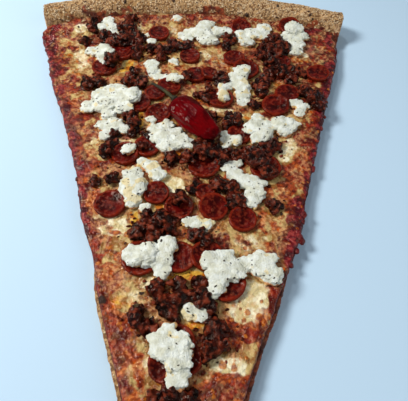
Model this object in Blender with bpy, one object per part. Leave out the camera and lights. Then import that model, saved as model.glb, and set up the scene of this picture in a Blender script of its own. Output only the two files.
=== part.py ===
"""A jumbo slice of sausage pizza, cut from a giant round pie.

Lengths are in metres. +Y runs from the tip to the crust, +Z is up, and the origin is on the flat
underside, midway along the slice. A topping's place is given in millimetres, as (across, along):
across from the slice's middle line, and along from its tip.
"""

import math
import random
from dataclasses import dataclass

import bmesh
import bpy
from mathutils import Matrix, Vector, noise

MM = 0.001

# The slice seen from above
SLICE_LENGTH = 434 * MM
HALF_ANGLE = math.radians(18.2)
TIP_ROUND = 7 * MM
STRAIGHT_FROM = 60 * MM  # past the rounded tip

# How the cuts wander from straight, in millimetres: distance from the tip, and how far outward
LEFT_CUT = (
    (0, 0), (105, 0), (158, 1.8), (190, -2), (211, -1), (253, -2.9), (295, -1),
    (337, 2.8), (368, 2), (390, 4), (411, 0), (421, -2), (434, -5),
)
RIGHT_CUT = (
    (0, 0), (105, -2.5), (126, -1.5), (158, 2), (200, 3), (232, 0.5), (263, 0.6),
    (316, -0.6), (368, -0.5), (390, -2.5), (415, -3), (425, -4.5), (434, -8),
)

# The layers, from the underside up
DOUGH_THICK = 5.5 * MM
SAUCE_THICK = 1.3 * MM
CHEESE_THICK = 2.0 * MM
CHEESE_RELIEF = 1.0 * MM
BROAD_RELIEF = 26 * MM
FINE_RELIEF = 11 * MM
GAP = 0.3 * MM
SAUCE_FLOOR = DOUGH_THICK + GAP
CHEESE_FLOOR = SAUCE_FLOOR + SAUCE_THICK + GAP
CHEESE_TOP = CHEESE_FLOOR + CHEESE_THICK
DEEPEST = CHEESE_FLOOR + GAP  # how low a topping or its cutter may reach
OOZE = 1.6 * MM  # how far sauce and cheese run past the cut
BARE_EDGE = 2.4 * MM  # how far they stop short of it near the tip
BARE_UNTIL = 150 * MM
OOZE_FROM = 210 * MM
SAUCE_MARGIN = 0.6 * MM  # how far the sauce shows beyond the cheese
LEFT_CORNER_FROM = 398 * MM  # from here they draw in from the cuts, round the rim's corners
RIGHT_CORNER_FROM = 384 * MM
CORNER_BARE = 7 * MM

# The rim of the crust
RIM_WIDTH = 26 * MM
RIM_HEIGHT = 20.5 * MM
RIM_UNDERCUT = 5 * MM
RIM_LUMPS = 1.3 * MM
RIM_LUMP_SIZE = 17 * MM
RIM_CREST = 0.42  # where across its width the rim is highest
RIM_FALL = 0.62  # how much of its height it loses by its outer edge
RIM_INNER = SLICE_LENGTH - RIM_WIDTH
SWELL_WIDTH = 26 * MM  # the dough thickens before the rim
SWELL = 4 * MM

# Mesh fineness
DOUGH_COLUMNS = 22
CHEESE_COLUMNS = 14
ROW = 11 * MM
RIM_ROWS = 8
MERGE = 0.01 * MM
FLAT = math.radians(0.01)

# Toppings
COIN_THICK = 3.2 * MM
COIN_CUP = 0.7 * MM
COIN_SIDES = 12
CRUMB_SHAPE = (1.06, 1.06, 0.82)
LUMP_SHAPE = (1.06, 1.06, 0.74)
FINE_LUMP = 6.5  # radius in millimetres from which a lump is made of more faces
CLEARANCE = 0.5 * MM
FACET_DEPTH = 0.5  # how near its centre a lump's flattest face comes, as a share of its radius
KEPT_FACES = 0.52  # share of a cut topping's faces kept, the flattest being merged first
KEPT_CHEESE = 0.68

# Coins of sliced sausage that lie clear: across, along, diameter
COINS = {
    "sausage_coin_01": (81, 393, 19),
    "sausage_coin_02": (39, 391, 18),
    "sausage_coin_03": (32, 352, 18),
    "sausage_coin_04": (41, 339, 21),
    "sausage_coin_05": (98, 336, 19),
    "sausage_coin_06": (-31, 381, 18),
    "sausage_coin_07": (61, 299, 21),
    "sausage_coin_08": (-25, 288, 19),
    "sausage_coin_09": (-45, 250, 19),
    "sausage_coin_10": (-50, 210, 20),
    "sausage_coin_11": (32, 201, 18),
    "sausage_coin_12": (-28, 174, 22),
    "sausage_coin_13": (21, 160, 22),
    "sausage_coin_14": (-10, 117, 19),
    "sausage_coin_15": (-6, 127, 21),
    "sausage_coin_16": (-9, 86, 19),
}

# Heaps of crumbled sausage, with the coins caught in them.
# coins: across, along, diameter. crumbs: across, along, radius.
HEAPS = {
    "sausage_heap_01": {
        "coins": [(-71, 337, 20), (-60, 357, 22)],
        "crumbs": [(-59, 387, 8), (-55, 396, 5), (-52, 378, 6), (-75, 372, 7), (-66, 367, 7),
                   (-57, 368, 8), (-48, 370, 7), (-46, 360, 6), (-46, 351, 5), (-65, 341, 7)],
    },
    "sausage_heap_02": {
        "coins": [(-4, 353, 17)],
        "crumbs": [(-37, 361, 5), (-29, 357, 5.5), (-21, 360, 5.5), (-26, 349, 5.5),
                   (-19, 369, 5), (-13, 365, 5.5), (-6, 364, 6)],
    },
    "sausage_heap_03": {
        "coins": [(1, 331, 17), (12, 332, 14)],
        "crumbs": [(-6, 327, 5), (20, 329, 6), (22, 322, 5)],
    },
    "sausage_heap_04": {
        "coins": [(71, 349, 14)],
        "crumbs": [(66, 376, 7), (73, 368, 6), (58, 366, 6), (66, 360, 8), (75, 361, 5),
                   (56, 356, 6), (62, 347, 7), (60, 336, 6), (70, 336, 7), (80, 338, 5.5),
                   (86, 335, 4.5), (76, 328, 6), (56, 328, 5.5), (52, 320, 6.5), (52, 312, 6)],
    },
    "sausage_heap_05": {
        "coins": [(71, 312, 19)],
        "crumbs": [(84, 315, 6), (90, 307, 7), (95, 312, 4.5), (93, 299, 5.5)],
    },
    "sausage_heap_06": {
        "coins": [(20, 305, 20)],
        "crumbs": [(12, 313, 4.5), (9, 304, 5), (4, 309, 4.5)],
    },
    "sausage_heap_07": {
        "coins": [(33, 270, 18)],
        "crumbs": [(26, 286, 5), (31, 282, 6), (24, 278, 4.5)],
    },
    "sausage_heap_08": {
        "coins": [(8, 242, 22), (49, 241, 21)],
        "crumbs": [(4, 258, 6), (12, 257, 6.5), (-2, 245, 5.5), (7, 249, 6), (13, 250, 5),
                   (20, 247, 6), (25, 253, 5.5), (32, 251, 5.5), (40, 250, 8), (43, 243, 7.5),
                   (49, 234, 5.5), (57, 260, 6), (50, 255, 6.5)],
    },
    "sausage_heap_09": {
        "coins": [(-40, 298, 18)],
        "crumbs": [(-44, 284, 6.5), (-42, 275, 6.5), (-42, 268, 4)],
    },
    "sausage_heap_10": {
        "coins": [(-31, 257, 18)],
        "crumbs": [(-32, 266, 4.5), (-34, 255, 4)],
    },
    "sausage_heap_11": {
        "coins": [(9, 220, 13), (14, 209, 19)],
        "crumbs": [(17, 226, 6), (26, 222, 6), (27, 214, 6.5), (4, 227, 4), (0, 222, 4.5)],
    },
    "sausage_heap_12": {
        "coins": [(-22, 219, 17), (-7, 209, 19)],
        "crumbs": [(-8, 213, 6), (-26, 202, 5.5), (-18, 200, 6.5), (-12, 197, 5), (-31, 191, 6),
                   (-21, 192, 6.5), (-20, 186, 6), (-11, 191, 5)],
    },
    "sausage_heap_13": {
        "coins": [(-6, 175, 20), (10, 176, 20)],
        "crumbs": [(1, 188, 5), (8, 187, 6)],
    },
    "sausage_heap_14": {
        "coins": [],
        "crumbs": [(-17, 155, 6), (-12, 147, 6), (-6, 157, 5.5), (-3, 151, 6), (-9, 141, 5),
                   (6, 159, 5.5), (7, 150, 6.5), (12, 146, 5)],
    },
    "sausage_heap_15": {
        "coins": [(0, 120, 17)],
        "crumbs": [(12, 138, 4.5), (15, 133, 6.5), (13, 126, 6), (19, 127, 4.5), (9, 121, 4.5)],
    },
    "sausage_heap_16": {
        "coins": [(-29, 309, 16), (-19, 316, 18)],
        "crumbs": [],
    },
    "sausage_heap_17": {
        "coins": [(4, 58, 17)],
        "crumbs": [(-4, 68, 5), (2, 71, 4.5)],
    },
}

# Crumbs and shreds of ricotta small enough to bake into the cheese: across, along, radius
BAKED_IN_CRUMBS = [
    (-85, 390, 5.5), (-87, 383, 5.5), (-91, 368, 5), (-80, 316, 6.5), (-73, 318, 6),
    (28, 375, 6.5), (26, 366, 5.5), (-46, 331, 5), (-49, 321, 6), (-40, 318, 6.5),
    (-54, 266, 4.5), (-55, 258, 6), (-58, 250, 5.5), (-27, 141, 6), (-19, 134, 5.5),
    (-6, 104, 6.5), (2, 101, 5), (-15, 103, 4.5), (52, 210, 5.5), (-51, 229, 5.5),
    (-62, 227, 4), (45, 298, 5), (14, 285, 4.5), (-14, 247, 5.5), (3, 36, 4),
]
BAKED_IN_RICOTTA = [(-40, 378, 3.2), (-36, 370, 4), (-16, 399, 4), (-17, 345, 4), (-28, 208, 3.6)]

# Spoonfuls of ricotta, each a run of soft lumps: across, along, radius
RICOTTA = {
    "ricotta_01": [(-74, 394, 4), (-79, 386, 5), (-71, 386, 5.5), (-68, 380, 3.5)],
    "ricotta_02": [(-83, 356, 5), (-75, 357, 7), (-73, 348, 6.5), (-70, 354, 4.5)],
    "ricotta_03": [(9, 393, 6), (5, 384, 8.5), (10, 374, 8), (19, 386, 5.5), (27, 388, 4.5),
                   (-6, 384, 5), (-6, 375, 5), (-12, 380, 3.5)],
    "ricotta_04": [(59, 389, 6), (60, 381, 5), (50, 383, 7), (40, 381, 6.5), (43, 373, 6)],
    "ricotta_05": [(84, 386, 7.5), (87, 381, 7), (80, 380, 6), (86, 371, 6), (83, 361, 5.5)],
    "ricotta_06": [(-34, 342, 5), (-33, 334, 5.5), (-29, 327, 4), (-21, 325, 4.5), (-14, 323, 4.5)],
    "ricotta_07": [(38, 333, 6), (34, 326, 7), (38, 318, 6.5), (27, 321, 4.5), (22, 313, 4.5),
                   (22, 304, 4.5), (37, 309, 5.5), (37, 301, 4.5)],
    "ricotta_08": [(-68, 304, 7.5), (-57, 304, 10), (-46, 302, 7.5), (-64, 294, 9), (-52, 293, 8),
                   (-76, 293, 5.5), (-60, 286, 6)],
    "ricotta_09": [(-63, 275, 5), (-55, 275, 6), (-48, 272, 4.5), (-61, 266, 4.5)],
    "ricotta_10": [(-30, 280, 3.5), (-27, 272, 4.5), (-19, 276, 5), (-22, 266, 7.5),
                   (-13, 267, 6.5), (-18, 257, 6.5), (-8, 261, 6.5), (-2, 258, 4.5)],
    "ricotta_11": [(-38, 231, 7), (-37, 222, 9), (-36, 214, 6), (-32, 242, 4.5), (-26, 239, 5.5),
                   (-23, 233, 5.5)],
    "ricotta_12": [(23, 269, 4), (24, 263, 4.5), (30, 262, 4.5), (22, 257, 3.5)],
    "ricotta_13": [(47, 284, 5), (43, 276, 7), (49, 270, 7.5), (45, 265, 5.5), (55, 277, 5),
                   (63, 280, 6.5), (70, 280, 6), (66, 274, 5.5)],
    "ricotta_14": [(76, 302, 4.5), (81, 298, 4.5), (78, 292, 4.5)],
    "ricotta_15": [(31, 245, 3.5), (25, 241, 4.5), (27, 235, 5), (32, 229, 6), (40, 228, 6),
                   (41, 220, 6.5), (38, 213, 4.5)],
    "ricotta_16": [(-2, 199, 3.8), (4, 197, 4.5), (10, 196, 4.5)],
    "ricotta_17": [(-32, 174, 6), (-24, 175, 7.5), (-17, 173, 7.5), (-12, 181, 5.5), (-15, 165, 5)],
    "ricotta_18": [(12, 172, 6), (21, 173, 7), (26, 165, 5.5), (18, 165, 7), (16, 156, 5),
                   (33, 171, 5), (42, 171, 8), (46, 165, 6)],
    "ricotta_19": [(1, 143, 4.8), (7, 142, 4.5)],
    "ricotta_20": [(-10, 132, 4.5), (-12, 125, 7), (-4, 126, 6), (-5, 118, 7), (-4, 110, 5.5)],
    "ricotta_21": [(4, 87, 5), (10, 83, 4.5), (4, 79, 4.5)],
    "ricotta_22": [(-42, 252, 4.5)],
}

# The roasted chili and its stalk, across and along, and its sizes
CHILI_STALK_END = (-13, 294)
CHILI_TIP = (16, 260)
CHILI_WIDTH = 21.5 * MM
CHILI_HEIGHT = 13 * MM
CHILI_REST = CHEESE_TOP + 3 * MM
CHILI_SHOULDER = 0.16  # shares of its length that its shoulder and its end take
CHILI_END = 0.13
CHILI_TAPER = 0.42
CHILI_FOLDS = 5
CHILI_FOLD_DEPTH = 0.07
STALK_END = (-31, 311)
STALK_THICK = 3.4 * MM
STALK_BEND = 1.8 * MM
STALK_TAPER = 0.93  # each ring's size as a share of the last
STALK_STEPS = 6
STALK_SIDES = 8


def place(across, along):
    """Plan position in metres of a place given in millimetres."""
    return Vector((across * MM, along * MM - SLICE_LENGTH / 2))


def ease(t):
    """A smooth step from 0 to 1."""
    t = min(1.0, max(0.0, t))
    return t * t * (3 - 2 * t)


def wander(cut, reach):
    """How far a cut lies outside its straight line at a reach from the tip."""
    for (start, first), (end, last) in zip(cut, cut[1:]):
        if reach <= end * MM:
            return (first + (last - first) * ease((reach / MM - start) / (end - start))) * MM
    return cut[-1][1] * MM


def plan_point(reach, share, spread=0.0):
    """Plan position at a reach from the tip, share -1 on the left cut and 1 on the right."""
    rounded = math.sqrt(reach * (reach + TIP_ROUND)) - TIP_ROUND / 2 * ease(reach / STRAIGHT_FROM)
    cut = LEFT_CUT if share < 0 else RIGHT_CUT
    edge = wander(cut, reach) + spread * ease(2 * reach / STRAIGHT_FROM)
    across = share * (math.sin(HALF_ANGLE) * rounded + abs(share) ** 3 * edge)
    return across, reach * math.cos(share * HALF_ANGLE) - SLICE_LENGTH / 2


def topping_spread(reach, share):
    """How far sauce and cheese go past the dough's cut at a reach from the tip."""
    oozed = ease((reach - BARE_UNTIL) / (OOZE_FROM - BARE_UNTIL))
    corner_from = LEFT_CORNER_FROM if share < 0 else RIGHT_CORNER_FROM
    corner = ease((reach - corner_from) / (RIM_INNER - corner_from))
    return -BARE_EDGE + (BARE_EDGE + OOZE) * oozed - CORNER_BARE * corner


def reach_of(point):
    """Distance of a point from the tip, seen from above."""
    return math.hypot(point.x, point.y + SLICE_LENGTH / 2)


def swell(reach):
    """How much the dough has thickened towards the rim."""
    return SWELL * ease((reach - RIM_INNER + SWELL_WIDTH) / SWELL_WIDTH)


def cheese_height(across, along):
    """Height of the melted cheese's uneven top."""
    p = Vector((across, along, 0.0))
    relief = 0.7 * noise.noise(p / BROAD_RELIEF) + 0.5 * noise.noise(p / FINE_RELIEF)
    return CHEESE_TOP + CHEESE_RELIEF * relief + swell(reach_of(p))


def crust_height(across, along, reach):
    """Height of the crust's top: flat under the sauce, then a lumpy round rim."""
    base = DOUGH_THICK + swell(reach)
    if reach <= RIM_INNER + MERGE:
        return base
    t = (reach - RIM_INNER) / RIM_WIDTH
    rise = math.sin(math.pi / 2 * min(1.0, t / RIM_CREST)) ** 0.8
    fall = 1 - RIM_FALL * max(0.0, (t - RIM_CREST) / (1 - RIM_CREST)) ** 2.2
    lumps = RIM_LUMPS * noise.noise(Vector((across, along, 0.0)) / RIM_LUMP_SIZE)
    return base + (RIM_HEIGHT - base) * rise * fall + lumps * ease(t / RIM_CREST)


def material(name, colour, roughness, metallic=0.0):
    """A Principled material."""
    made = bpy.data.materials.new(name)
    made.use_nodes = True
    shader = made.node_tree.nodes["Principled BSDF"]
    shader.inputs["Base Color"].default_value = (*colour, 1.0)
    shader.inputs["Roughness"].default_value = roughness
    shader.inputs["Metallic"].default_value = metallic
    return made


def spaced(start, end, step):
    """Values from start to end, about a step apart."""
    count = max(1, round((end - start) / step))
    return [start + (end - start) * i / count for i in range(count + 1)]


def layer(name, reaches, columns, spread, floor, top, finish):
    """A wedge-shaped layer, its floor and top given by functions."""
    rows = len(reaches) - 1
    bm = bmesh.new()
    bmesh.ops.create_grid(bm, x_segments=columns, y_segments=rows, size=1.0)
    rows_of = {}
    for vert in bm.verts:
        reach = reaches[round((vert.co.y + 1) / 2 * rows)]
        share = vert.co.x
        across, along = plan_point(reach, share, spread(reach, share))
        vert.co = (across, along, floor(reach))
        rows_of[vert] = (reach, share)
    raised = bmesh.ops.extrude_face_region(bm, geom=bm.faces[:])["geom"]
    lower = {(round(v.co.x, 7), round(v.co.y, 7)): rows_of[v] for v in rows_of if v.is_valid}
    upper = [g for g in raised if isinstance(g, bmesh.types.BMVert)]
    for vert in upper:
        reach, share = lower[(round(vert.co.x, 7), round(vert.co.y, 7))]
        vert.co.z = top(vert.co.x, vert.co.y, reach)
    for vert in set(bm.verts) - set(upper):
        reach, share = lower[(round(vert.co.x, 7), round(vert.co.y, 7))]
        if reach > RIM_INNER:
            back = RIM_UNDERCUT * ease((reach - RIM_INNER) / RIM_WIDTH)
            vert.co.x, vert.co.y = plan_point(reach - back, share)
    bmesh.ops.remove_doubles(bm, verts=bm.verts, dist=MERGE)
    bmesh.ops.dissolve_limit(bm, angle_limit=FLAT, verts=bm.verts, edges=bm.edges)
    return solid(name, bm, finish)


def covered(start, end):
    """Rows from the tip to the rim that all layers share, with this layer's own ends."""
    return [start, *spaced(0.0, RIM_INNER, ROW)[1:-1], end]


def crust(finish, home):
    """The dough: a flat base and the rim of the crust at its wide end."""
    rows = covered(0.0, RIM_INNER) + spaced(RIM_INNER, SLICE_LENGTH, RIM_WIDTH / RIM_ROWS)[1:]
    made = layer(
        "pizza_crust", rows, DOUGH_COLUMNS, lambda reach, share: 0.0, lambda reach: 0.0, crust_height,
        finish,
    )
    home.objects.link(made)
    return made


def sauce(finish, home):
    """Tomato sauce, a thin layer that shows along both cuts."""
    made = layer(
        "tomato_sauce", covered(2 * MM, RIM_INNER - GAP), DOUGH_COLUMNS, topping_spread,
        lambda reach: SAUCE_FLOOR + swell(reach),
        lambda across, along, reach: SAUCE_FLOOR + SAUCE_THICK + swell(reach), finish,
    )
    home.objects.link(made)
    return made


def mozzarella(finish, home):
    """Melted cheese with the smallest crumbs baked into it."""
    made = layer(
        "mozzarella", covered(4 * MM, RIM_INNER - 2 * GAP), CHEESE_COLUMNS,
        lambda reach, share: topping_spread(reach, share) - SAUCE_MARGIN,
        lambda reach: CHEESE_FLOOR + swell(reach),
        lambda across, along, reach: cheese_height(across, along), finish,
    )
    bare = Bed()
    bits = [crumb(*bit, bare.height(place(*bit[:2])), finish) for bit in BAKED_IN_CRUMBS]
    bits += [lump(*bit, bare.height(place(*bit[:2])), finish) for bit in BAKED_IN_RICOTTA]
    baked = Topping.joined("mozzarella", [(made, None), *bits])
    baked.forget_cutters()
    upper = [
        vert.index for vert in baked.body.data.vertices
        if vert.co.z > cheese_height(vert.co.x, vert.co.y) - CHEESE_THICK / 2
    ]
    simplify(baked.body, KEPT_CHEESE, upper)
    home.objects.link(baked.body)
    return baked.body


def apply_modifiers(obj):
    """Replaces an object's mesh by its evaluated one."""
    graph = bpy.context.evaluated_depsgraph_get()
    graph.update()
    mesh = bpy.data.meshes.new_from_object(obj.evaluated_get(graph))
    obj.modifiers.clear()
    old = obj.data
    obj.data = mesh
    bpy.data.meshes.remove(old)


def boolean(obj, others, operation):
    """One Boolean with closed meshes, applied, with those meshes then removed."""
    if not others:
        return
    held = bpy.data.collections.new("operands")
    bpy.context.scene.collection.children.link(held)
    for other in others:
        held.objects.link(other)
    bench = bpy.data.collections.new("bench")
    bpy.context.scene.collection.children.link(bench)
    bench.objects.link(obj)
    step = obj.modifiers.new(operation, "BOOLEAN")
    step.operation = operation
    step.operand_type = "COLLECTION"
    step.collection = held
    step.solver = "MANIFOLD"
    apply_modifiers(obj)
    for other in others:
        bpy.data.objects.remove(other)
    bpy.data.collections.remove(held)
    bpy.data.collections.remove(bench)
    tidy(obj)


def volume_of(body):
    """Six times the volume inside a set of vertices that make whole closed surfaces."""
    faces = {face for vert in body for face in vert.link_faces}
    corners = ([vert.co for vert in face.verts] for face in faces)
    return sum(a.dot(b.cross(c)) for a, b, c in corners)


def tidy(obj):
    """Keeps only the largest body of a mesh, as triangles."""
    bm = bmesh.new()
    bm.from_mesh(obj.data)
    bmesh.ops.triangulate(bm, faces=bm.faces)
    unseen = set(bm.verts)
    bodies = []
    while unseen:
        grown = [unseen.pop()]
        body = set(grown)
        while grown:
            for edge in grown.pop().link_edges:
                for vert in edge.verts:
                    if vert in unseen:
                        unseen.discard(vert)
                        body.add(vert)
                        grown.append(vert)
        bodies.append(body)
    bodies.sort(key=volume_of)
    for scrap in bodies[:-1]:
        bmesh.ops.delete(bm, geom=list(scrap), context="VERTS")
    bm.to_mesh(obj.data)
    bm.free()


def solid(name, bm, finish):
    """A mesh object outside the scene, which is freed from its bmesh."""
    mesh = bpy.data.meshes.new(name)
    bmesh.ops.triangulate(bm, faces=bm.faces)
    bmesh.ops.recalc_face_normals(bm, faces=bm.faces)
    bm.to_mesh(mesh)
    bm.free()
    if finish:
        mesh.materials.append(finish)
    return bpy.data.objects.new(name, mesh)


def cutter_from(bm, lower):
    """A closed cutter, its lower vertices drawn down into the cheese."""
    for vert in lower:
        vert.co.z = DEEPEST
    return solid("cutter", bm, None)


def blob(across, along, radius, shape, faces, roughness, rise, finish):
    """An uneven rounded lump, and the slightly larger one that cuts what is laid on it."""
    made = []
    middle = place(across, along).to_3d()
    middle.z = rise
    for grown in (0.0, CLEARANCE / FACET_DEPTH):
        bm = bmesh.new()
        bmesh.ops.create_icosphere(bm, subdivisions=faces, radius=1.0)
        draw = random.Random(f"{across} {along}")
        for vert in bm.verts:
            vert.co *= 1 + roughness * draw.uniform(-1, 1)
        turn = Matrix.Rotation(across * 1.7 + along, 4, "Z") @ Matrix.Rotation(along * 0.9, 4, "X")
        bmesh.ops.transform(bm, matrix=turn, verts=bm.verts)
        bmesh.ops.scale(bm, vec=[side * radius * MM + grown for side in shape], verts=bm.verts)
        bmesh.ops.translate(bm, vec=middle, verts=bm.verts)
        for vert in bm.verts:
            vert.co.z = max(vert.co.z, DEEPEST + swell(reach_of(vert.co)))
        lower = [vert for vert in bm.verts if vert.co.z < rise - 0.2 * radius * MM]
        made.append(bm)
    return solid("blob", made[0], finish), cutter_from(made[1], lower)


def crumb(across, along, radius, floor, finish):
    """One craggy crumb of sausage, partly sunk in what it lies on."""
    rise = floor + 0.34 * radius * MM
    return blob(across, along, radius, CRUMB_SHAPE, 1, 0.16, rise, finish)


def lump(across, along, radius, floor, finish):
    """One soft lump of ricotta, low and spread."""
    rise = floor + 0.22 * radius * MM
    faces = 2 if radius >= FINE_LUMP else 1
    return blob(across, along, radius, LUMP_SHAPE, faces, 0.07, rise, finish)


class Bed:
    """Heights of what has been laid so far, so that each coin and crumb rests on it."""

    def __init__(self):
        self.discs = []

    def height(self, where):
        """Height of the highest coin at a place, or else of the cheese."""
        found = cheese_height(where.x, where.y)
        for middle, radius, top in self.discs:
            if (where - middle).length < radius:
                found = max(found, top)
        return found

    def lay_disc(self, middle, radius):
        """Slope and height of the surface under a disc, which is then added to the bed."""
        ring = [
            middle + radius * 0.8 * Vector((math.cos(a), math.sin(a)))
            for a in (math.tau * i / 8 for i in range(8))
        ]
        heights = [self.height(p) for p in ring]
        mean = sum(heights) / len(heights)
        slope = Vector((0.0, 0.0))
        for p, h in zip(ring, heights):
            slope += (p - middle) * (h - mean)
        slope *= 2 / (len(ring) * (radius * 0.8) ** 2)
        self.discs.append((middle, radius, mean + COIN_THICK * 0.85))
        return mean, slope


def coin(across, along, diameter, bed, finish, cupped=True):
    """A slice of cured sausage, lying on the bed, its edge curled up a little, and its cutter."""
    middle, radius = place(across, along), diameter * MM / 2
    mean, slope = bed.lay_disc(middle, radius)
    tilt = Vector((0, 0, 1)).rotation_difference(Vector((-slope.x, -slope.y, 1.0)).normalized())
    rise = mean + COIN_THICK * 0.35
    where = Matrix.Translation((middle.x, middle.y, rise)) @ tilt.to_matrix().to_4x4()
    made = []
    for grown in (0.0, CLEARANCE):
        bm = bmesh.new()
        bmesh.ops.create_cone(
            bm, cap_ends=True, segments=COIN_SIDES, radius1=radius * 0.95 + grown,
            radius2=radius + grown, depth=COIN_THICK + 2 * grown,
        )
        if cupped and not grown:
            lid = max(bm.faces, key=lambda face: face.calc_center_median().z)
            bmesh.ops.inset_individual(bm, faces=[lid], thickness=radius * 0.22)
            bmesh.ops.translate(bm, vec=(0, 0, -COIN_CUP), verts=lid.verts)
        lower = [vert for vert in bm.verts if vert.co.z < 0]
        bmesh.ops.transform(bm, matrix=where, verts=bm.verts)
        made.append(bm)
    return solid("coin", made[0], finish), cutter_from(made[1], lower)


@dataclass
class Topping:
    """A topping, and the solids that cut what is laid on it."""

    body: bpy.types.Object
    cutters: list

    @classmethod
    def joined(cls, name, pieces):
        """A topping made of pieces and their cutters, run together."""
        first, *others = [piece for piece, cutter in pieces]
        boolean(first, others, "UNION")
        first.name = name
        return cls(first, [cutter for piece, cutter in pieces if cutter])

    def forget_cutters(self):
        """Removes the cutters, when nothing more is laid on this."""
        for cutter in self.cutters:
            bpy.data.objects.remove(cutter)
        self.cutters = []


def heap(name, coins, crumbs, bed, finish):
    """Crumbs and coins that lie against each other, as one solid."""
    pieces = [coin(*spec, bed, finish, cupped=False) for spec in coins]
    pieces += [crumb(*spec, bed.height(place(*spec[:2])), finish) for spec in crumbs]
    return Topping.joined(name, pieces)


def spoonful(name, lumps, bed, finish):
    """A dollop of ricotta, its lumps run together."""
    pieces = [lump(*spec, bed.height(place(*spec[:2])), finish) for spec in lumps]
    return Topping.joined(name, pieces)


def chili(finish):
    """A roasted red chili: broad shoulders, a blunt end and long folds in its skin."""
    start, end = place(*CHILI_STALK_END), place(*CHILI_TIP)
    length = (end - start).length
    turn = Matrix.Rotation(math.atan2(end.y - start.y, end.x - start.x), 4, "Z")
    lift = Matrix.Translation((start.x, start.y, CHILI_REST + CHILI_HEIGHT * 0.42))
    made = []
    for grown in (0.0, CLEARANCE * 1.5):
        bm = bmesh.new()
        bmesh.ops.create_uvsphere(bm, u_segments=14, v_segments=11, radius=1.0)
        for vert in bm.verts:
            t = (vert.co.z + 1) / 2
            around = math.atan2(vert.co.y, vert.co.x)
            shoulder = 1 - max(0.0, 1 - t / CHILI_SHOULDER) ** 2
            end_cap = 1 - max(0.0, 1 - (1 - t) / CHILI_END) ** 2
            full = math.sqrt(shoulder * end_cap) * (1 - CHILI_TAPER * ease(2 * t - 1))
            fold = 1 + CHILI_FOLD_DEPTH * math.sin(CHILI_FOLDS * around + 5 * t) * ease(t * 3)
            across = full * fold * CHILI_WIDTH / 2 + grown
            deep = full * fold * CHILI_HEIGHT / 2 + grown
            along = t * length + 2 * grown * (t - 0.5)
            vert.co = (along, across * math.cos(around), deep * math.sin(around))
        bmesh.ops.transform(bm, matrix=lift @ turn, verts=bm.verts)
        made.append(solid("red_chili", bm, finish))
    return Topping(made[0], [made[1]])


def stalk(finish):
    """The chili's green stalk: a tapered, slightly bent rod, drawn out ring by ring."""
    start, end = place(*CHILI_STALK_END), place(*STALK_END)
    height = CHILI_REST + CHILI_HEIGHT * 0.45
    heading = (end - start).normalized().to_3d()
    upright = Vector((0, 0, 1)).rotation_difference(heading).to_matrix()
    bm = bmesh.new()
    ring = bmesh.ops.create_circle(bm, cap_ends=True, segments=STALK_SIDES, radius=STALK_THICK / 2)
    for vert in ring["verts"]:
        vert.co = upright @ vert.co + Vector((start.x, start.y, height))
    front = bm.faces[:]
    for i in range(STALK_STEPS):
        t = (i + 1) / STALK_STEPS
        if i == 0:
            raised = bmesh.ops.extrude_face_region(bm, geom=front)["geom"]
            front = [part for part in raised if isinstance(part, bmesh.types.BMFace)]
        else:
            front = bmesh.ops.extrude_discrete_faces(bm, faces=front)["faces"]
        middle = front[0].calc_center_median()
        after = start.lerp(end, t).to_3d()
        after.z = height + STALK_BEND * math.sin(math.pi * t)
        for vert in front[0].verts:
            vert.co = after + (vert.co - middle) * STALK_TAPER
    return Topping(solid("chili_stalk", bm, finish), [])


def box_of(obj):
    """Lowest and highest corners of a mesh object."""
    points = [v.co for v in obj.data.vertices]
    return [(min(p[i] for p in points), max(p[i] for p in points)) for i in range(3)]


def boxes_meet(first, second):
    """Whether two boxes overlap."""
    return all(a[0] < b[1] and b[0] < a[1] for a, b in zip(first, second))


def raised_copy(obj):
    """A copy of the cheese or the crust, raised and spread by the clearance, to cut toppings."""
    copy = bpy.data.objects.new("cutter", obj.data.copy())
    bm = bmesh.new()
    bm.from_mesh(copy.data)
    bm.normal_update()
    moves = {vert: vert.normal * CLEARANCE for vert in bm.verts}
    for vert, move in moves.items():
        vert.co += move
    bm.to_mesh(copy.data)
    bm.free()
    return copy


def settle(ground, toppings):
    """Cuts each topping by what was laid before it, so that it rests there and overlaps nothing."""
    cutters = [(box_of(cutter), cutter) for cutter in map(raised_copy, ground)]
    for topping in toppings:
        mine = box_of(topping.body)
        under = [
            bpy.data.objects.new("cutter", cutter.data.copy())
            for box, cutter in cutters
            if boxes_meet(mine, box)
        ]
        boolean(topping.body, under, "DIFFERENCE")
        simplify(topping.body, KEPT_FACES)
        cutters += [(box_of(cutter), cutter) for cutter in topping.cutters]
    for box, cutter in cutters:
        bpy.data.objects.remove(cutter)


def simplify(obj, kept, indices=None):
    """Merges the flattest faces that a Boolean leaves, at all vertices or at those given."""
    step = obj.modifiers.new("simplify", "DECIMATE")
    step.ratio = kept
    if indices:
        obj.vertex_groups.new(name="merged").add(indices, 1.0, "REPLACE")
        step.vertex_group = "merged"
    bpy.context.scene.collection.objects.link(obj)
    apply_modifiers(obj)
    bpy.context.scene.collection.objects.unlink(obj)


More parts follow.
